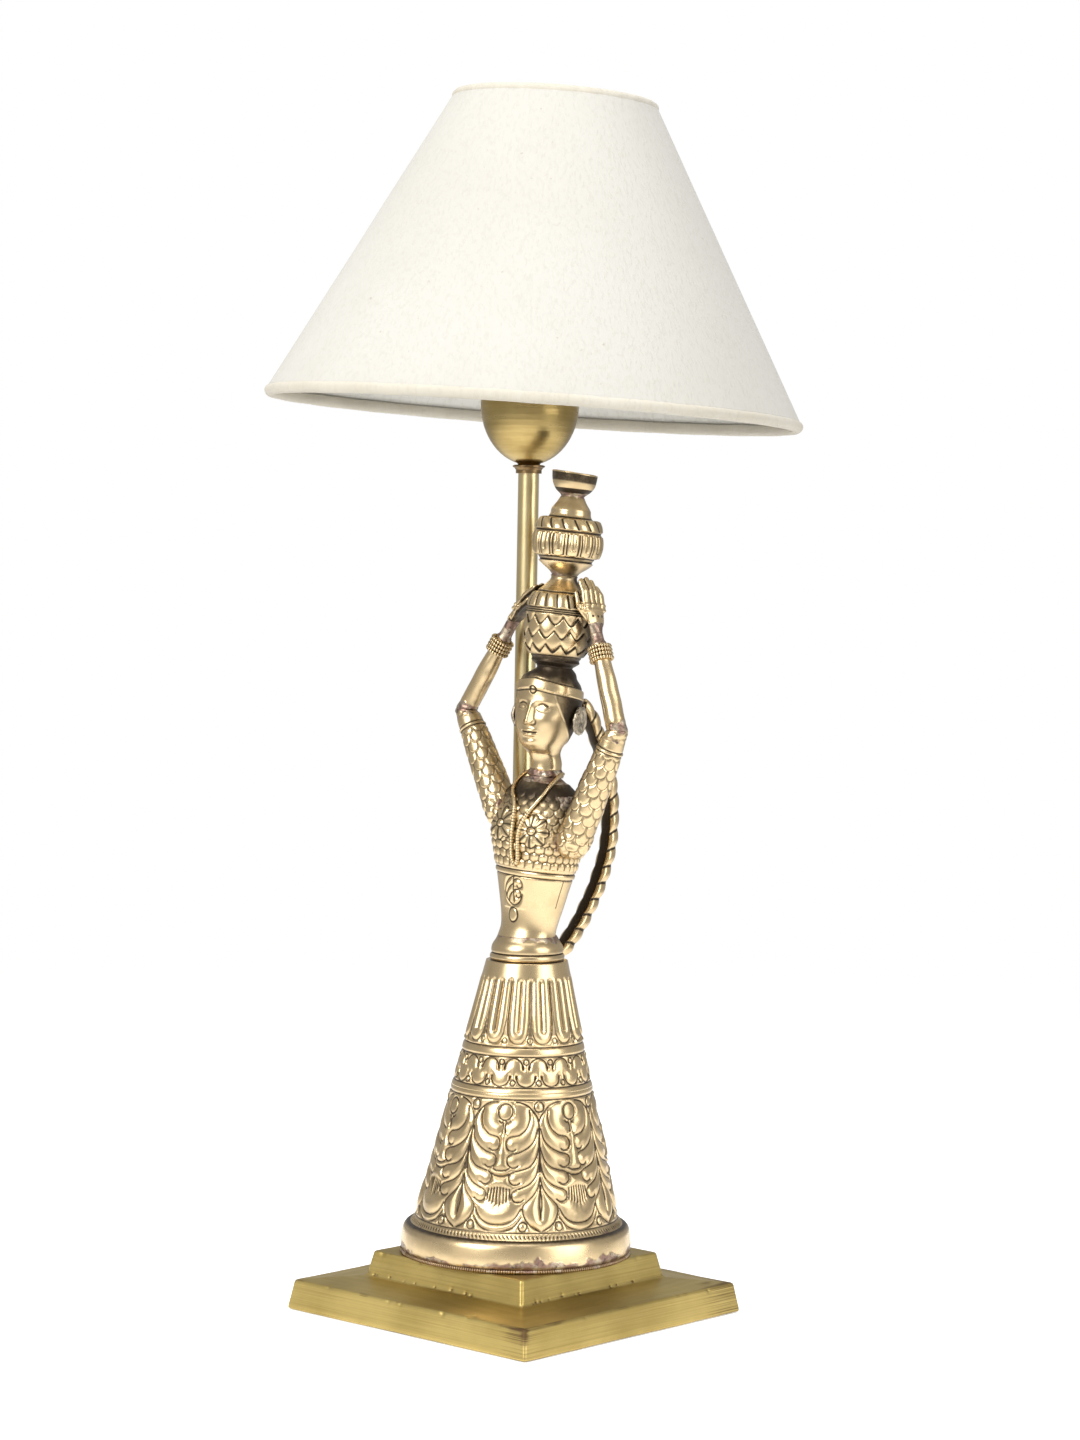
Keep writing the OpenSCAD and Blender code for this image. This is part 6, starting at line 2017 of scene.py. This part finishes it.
def makeCloth(name, inner, outer, short, material, slot, node, wave):
    s = shade
    low, high = np.array(s["low"]) + slant * short, np.array(s["high"]) - slant * short
    outside = fine([tuple(low + slantOut * outer), tuple(high + slantOut * outer)], s["spacing"])
    inside = fine([tuple(high + slantOut * inner), tuple(low + slantOut * inner)], s["spacing"])
    section = outside + inside
    angle = np.arange(s["sides"]) / s["sides"] * 2 * math.pi
    r = np.array([p[0] for p in section])[:, None]
    z = np.repeat(np.array([p[1] for p in section])[:, None], len(angle), 1)
    piece = wrapRings(name, np.stack([r * np.cos(angle), r * np.sin(angle), z], 2), closed=True)
    points = readPoints(piece)
    height = (points[:, 2] - low[1]) / (high[1] - low[1])
    out = np.stack([points[:, 0], points[:, 1], 0 * height], 1)
    out /= np.linalg.norm(out, axis=1)[:, None]
    free = np.clip(height * (1 - height) * 4, 0, 1) ** 0.5
    points += out * (uneven(points, 60, 5) * wave * free)[:, None]
    writePoints(piece, points)
    finish(piece, "shade", materials[material], onCloth, [node])
    return piece


cover = makeCloth("shadeLinen", *shade["cover"], 0.0, "linen", "linen", "shade_cover", 0.25)
liningCloth = makeCloth(
    "shadeLiningCloth", *shade["lining"], 3.2, "liningCloth", "lining", "shade_lining", 0.0
)


# A rolled hem, a little frayed, with its wire inside
def rollHem(name, rim, seed):
    s = shade
    steps, sides = s["hemSteps"], s["hemSides"]
    turn = np.arange(steps) / steps * 2 * math.pi
    angle = np.arange(sides) / sides * 2 * math.pi
    fray = np.random.default_rng(seed).normal(size=(steps, sides)) * 0.035
    soft = 0.12 * np.sin(turn * 23 + seed)[:, None] * np.sin(angle * 2 + 0.4) + fray
    r = rim[0] + (s["hem"] + soft) * np.cos(angle)
    z = rim[1] + (s["hem"] + soft) * np.sin(angle)
    rings = np.stack([r * np.cos(turn)[:, None], r * np.sin(turn)[:, None], z], 2)
    return wrapRings(name, rings[:, ::-1], closed=True)


def makeHems():
    pick(rollHem("hemLow", shade["low"], 3), rollHem("hemHigh", shade["high"], 4))
    bpy.ops.object.join()
    piece = bpy.context.object
    piece.name = "shadeHemRolls"
    writeMask(piece, "edge", 0.5 + 0.5 * uneven(readPoints(piece), 4, 3))
    return finish(piece, "shade", materials["hemLinen"], onCloth, ["shade_hems"])


hem = makeHems()
print("shade made")

# Finishes of the CAD nodes that are shown as they are
looks = {
    "cupBrass": ["holder_cup"],
    "collarBrass": ["cup_collar"],
    "poleBrass": ["pole_tube"],
    "plainBrass": ["tilt_ring", "carrier_ring", "screw_liner", "centre_contact"],
    "bakelite": ["cord_bush", "holder_base", "holder_shell", "retaining_ring"],
    "ceramic": ["holder_core", "terminal_block"],
    "leadSheath": ["inner_lead"],
    "opalGlass": ["bulb_globe"],
}
lookOf = {node: look for look, nodes in looks.items() for node in nodes}
for name, o in cadNodes.items():
    if not o.hide_render:
        o.data.materials.clear()
        o.data.materials.append(materials[lookOf.get(name, "steel")])
print("CAD nodes finished")
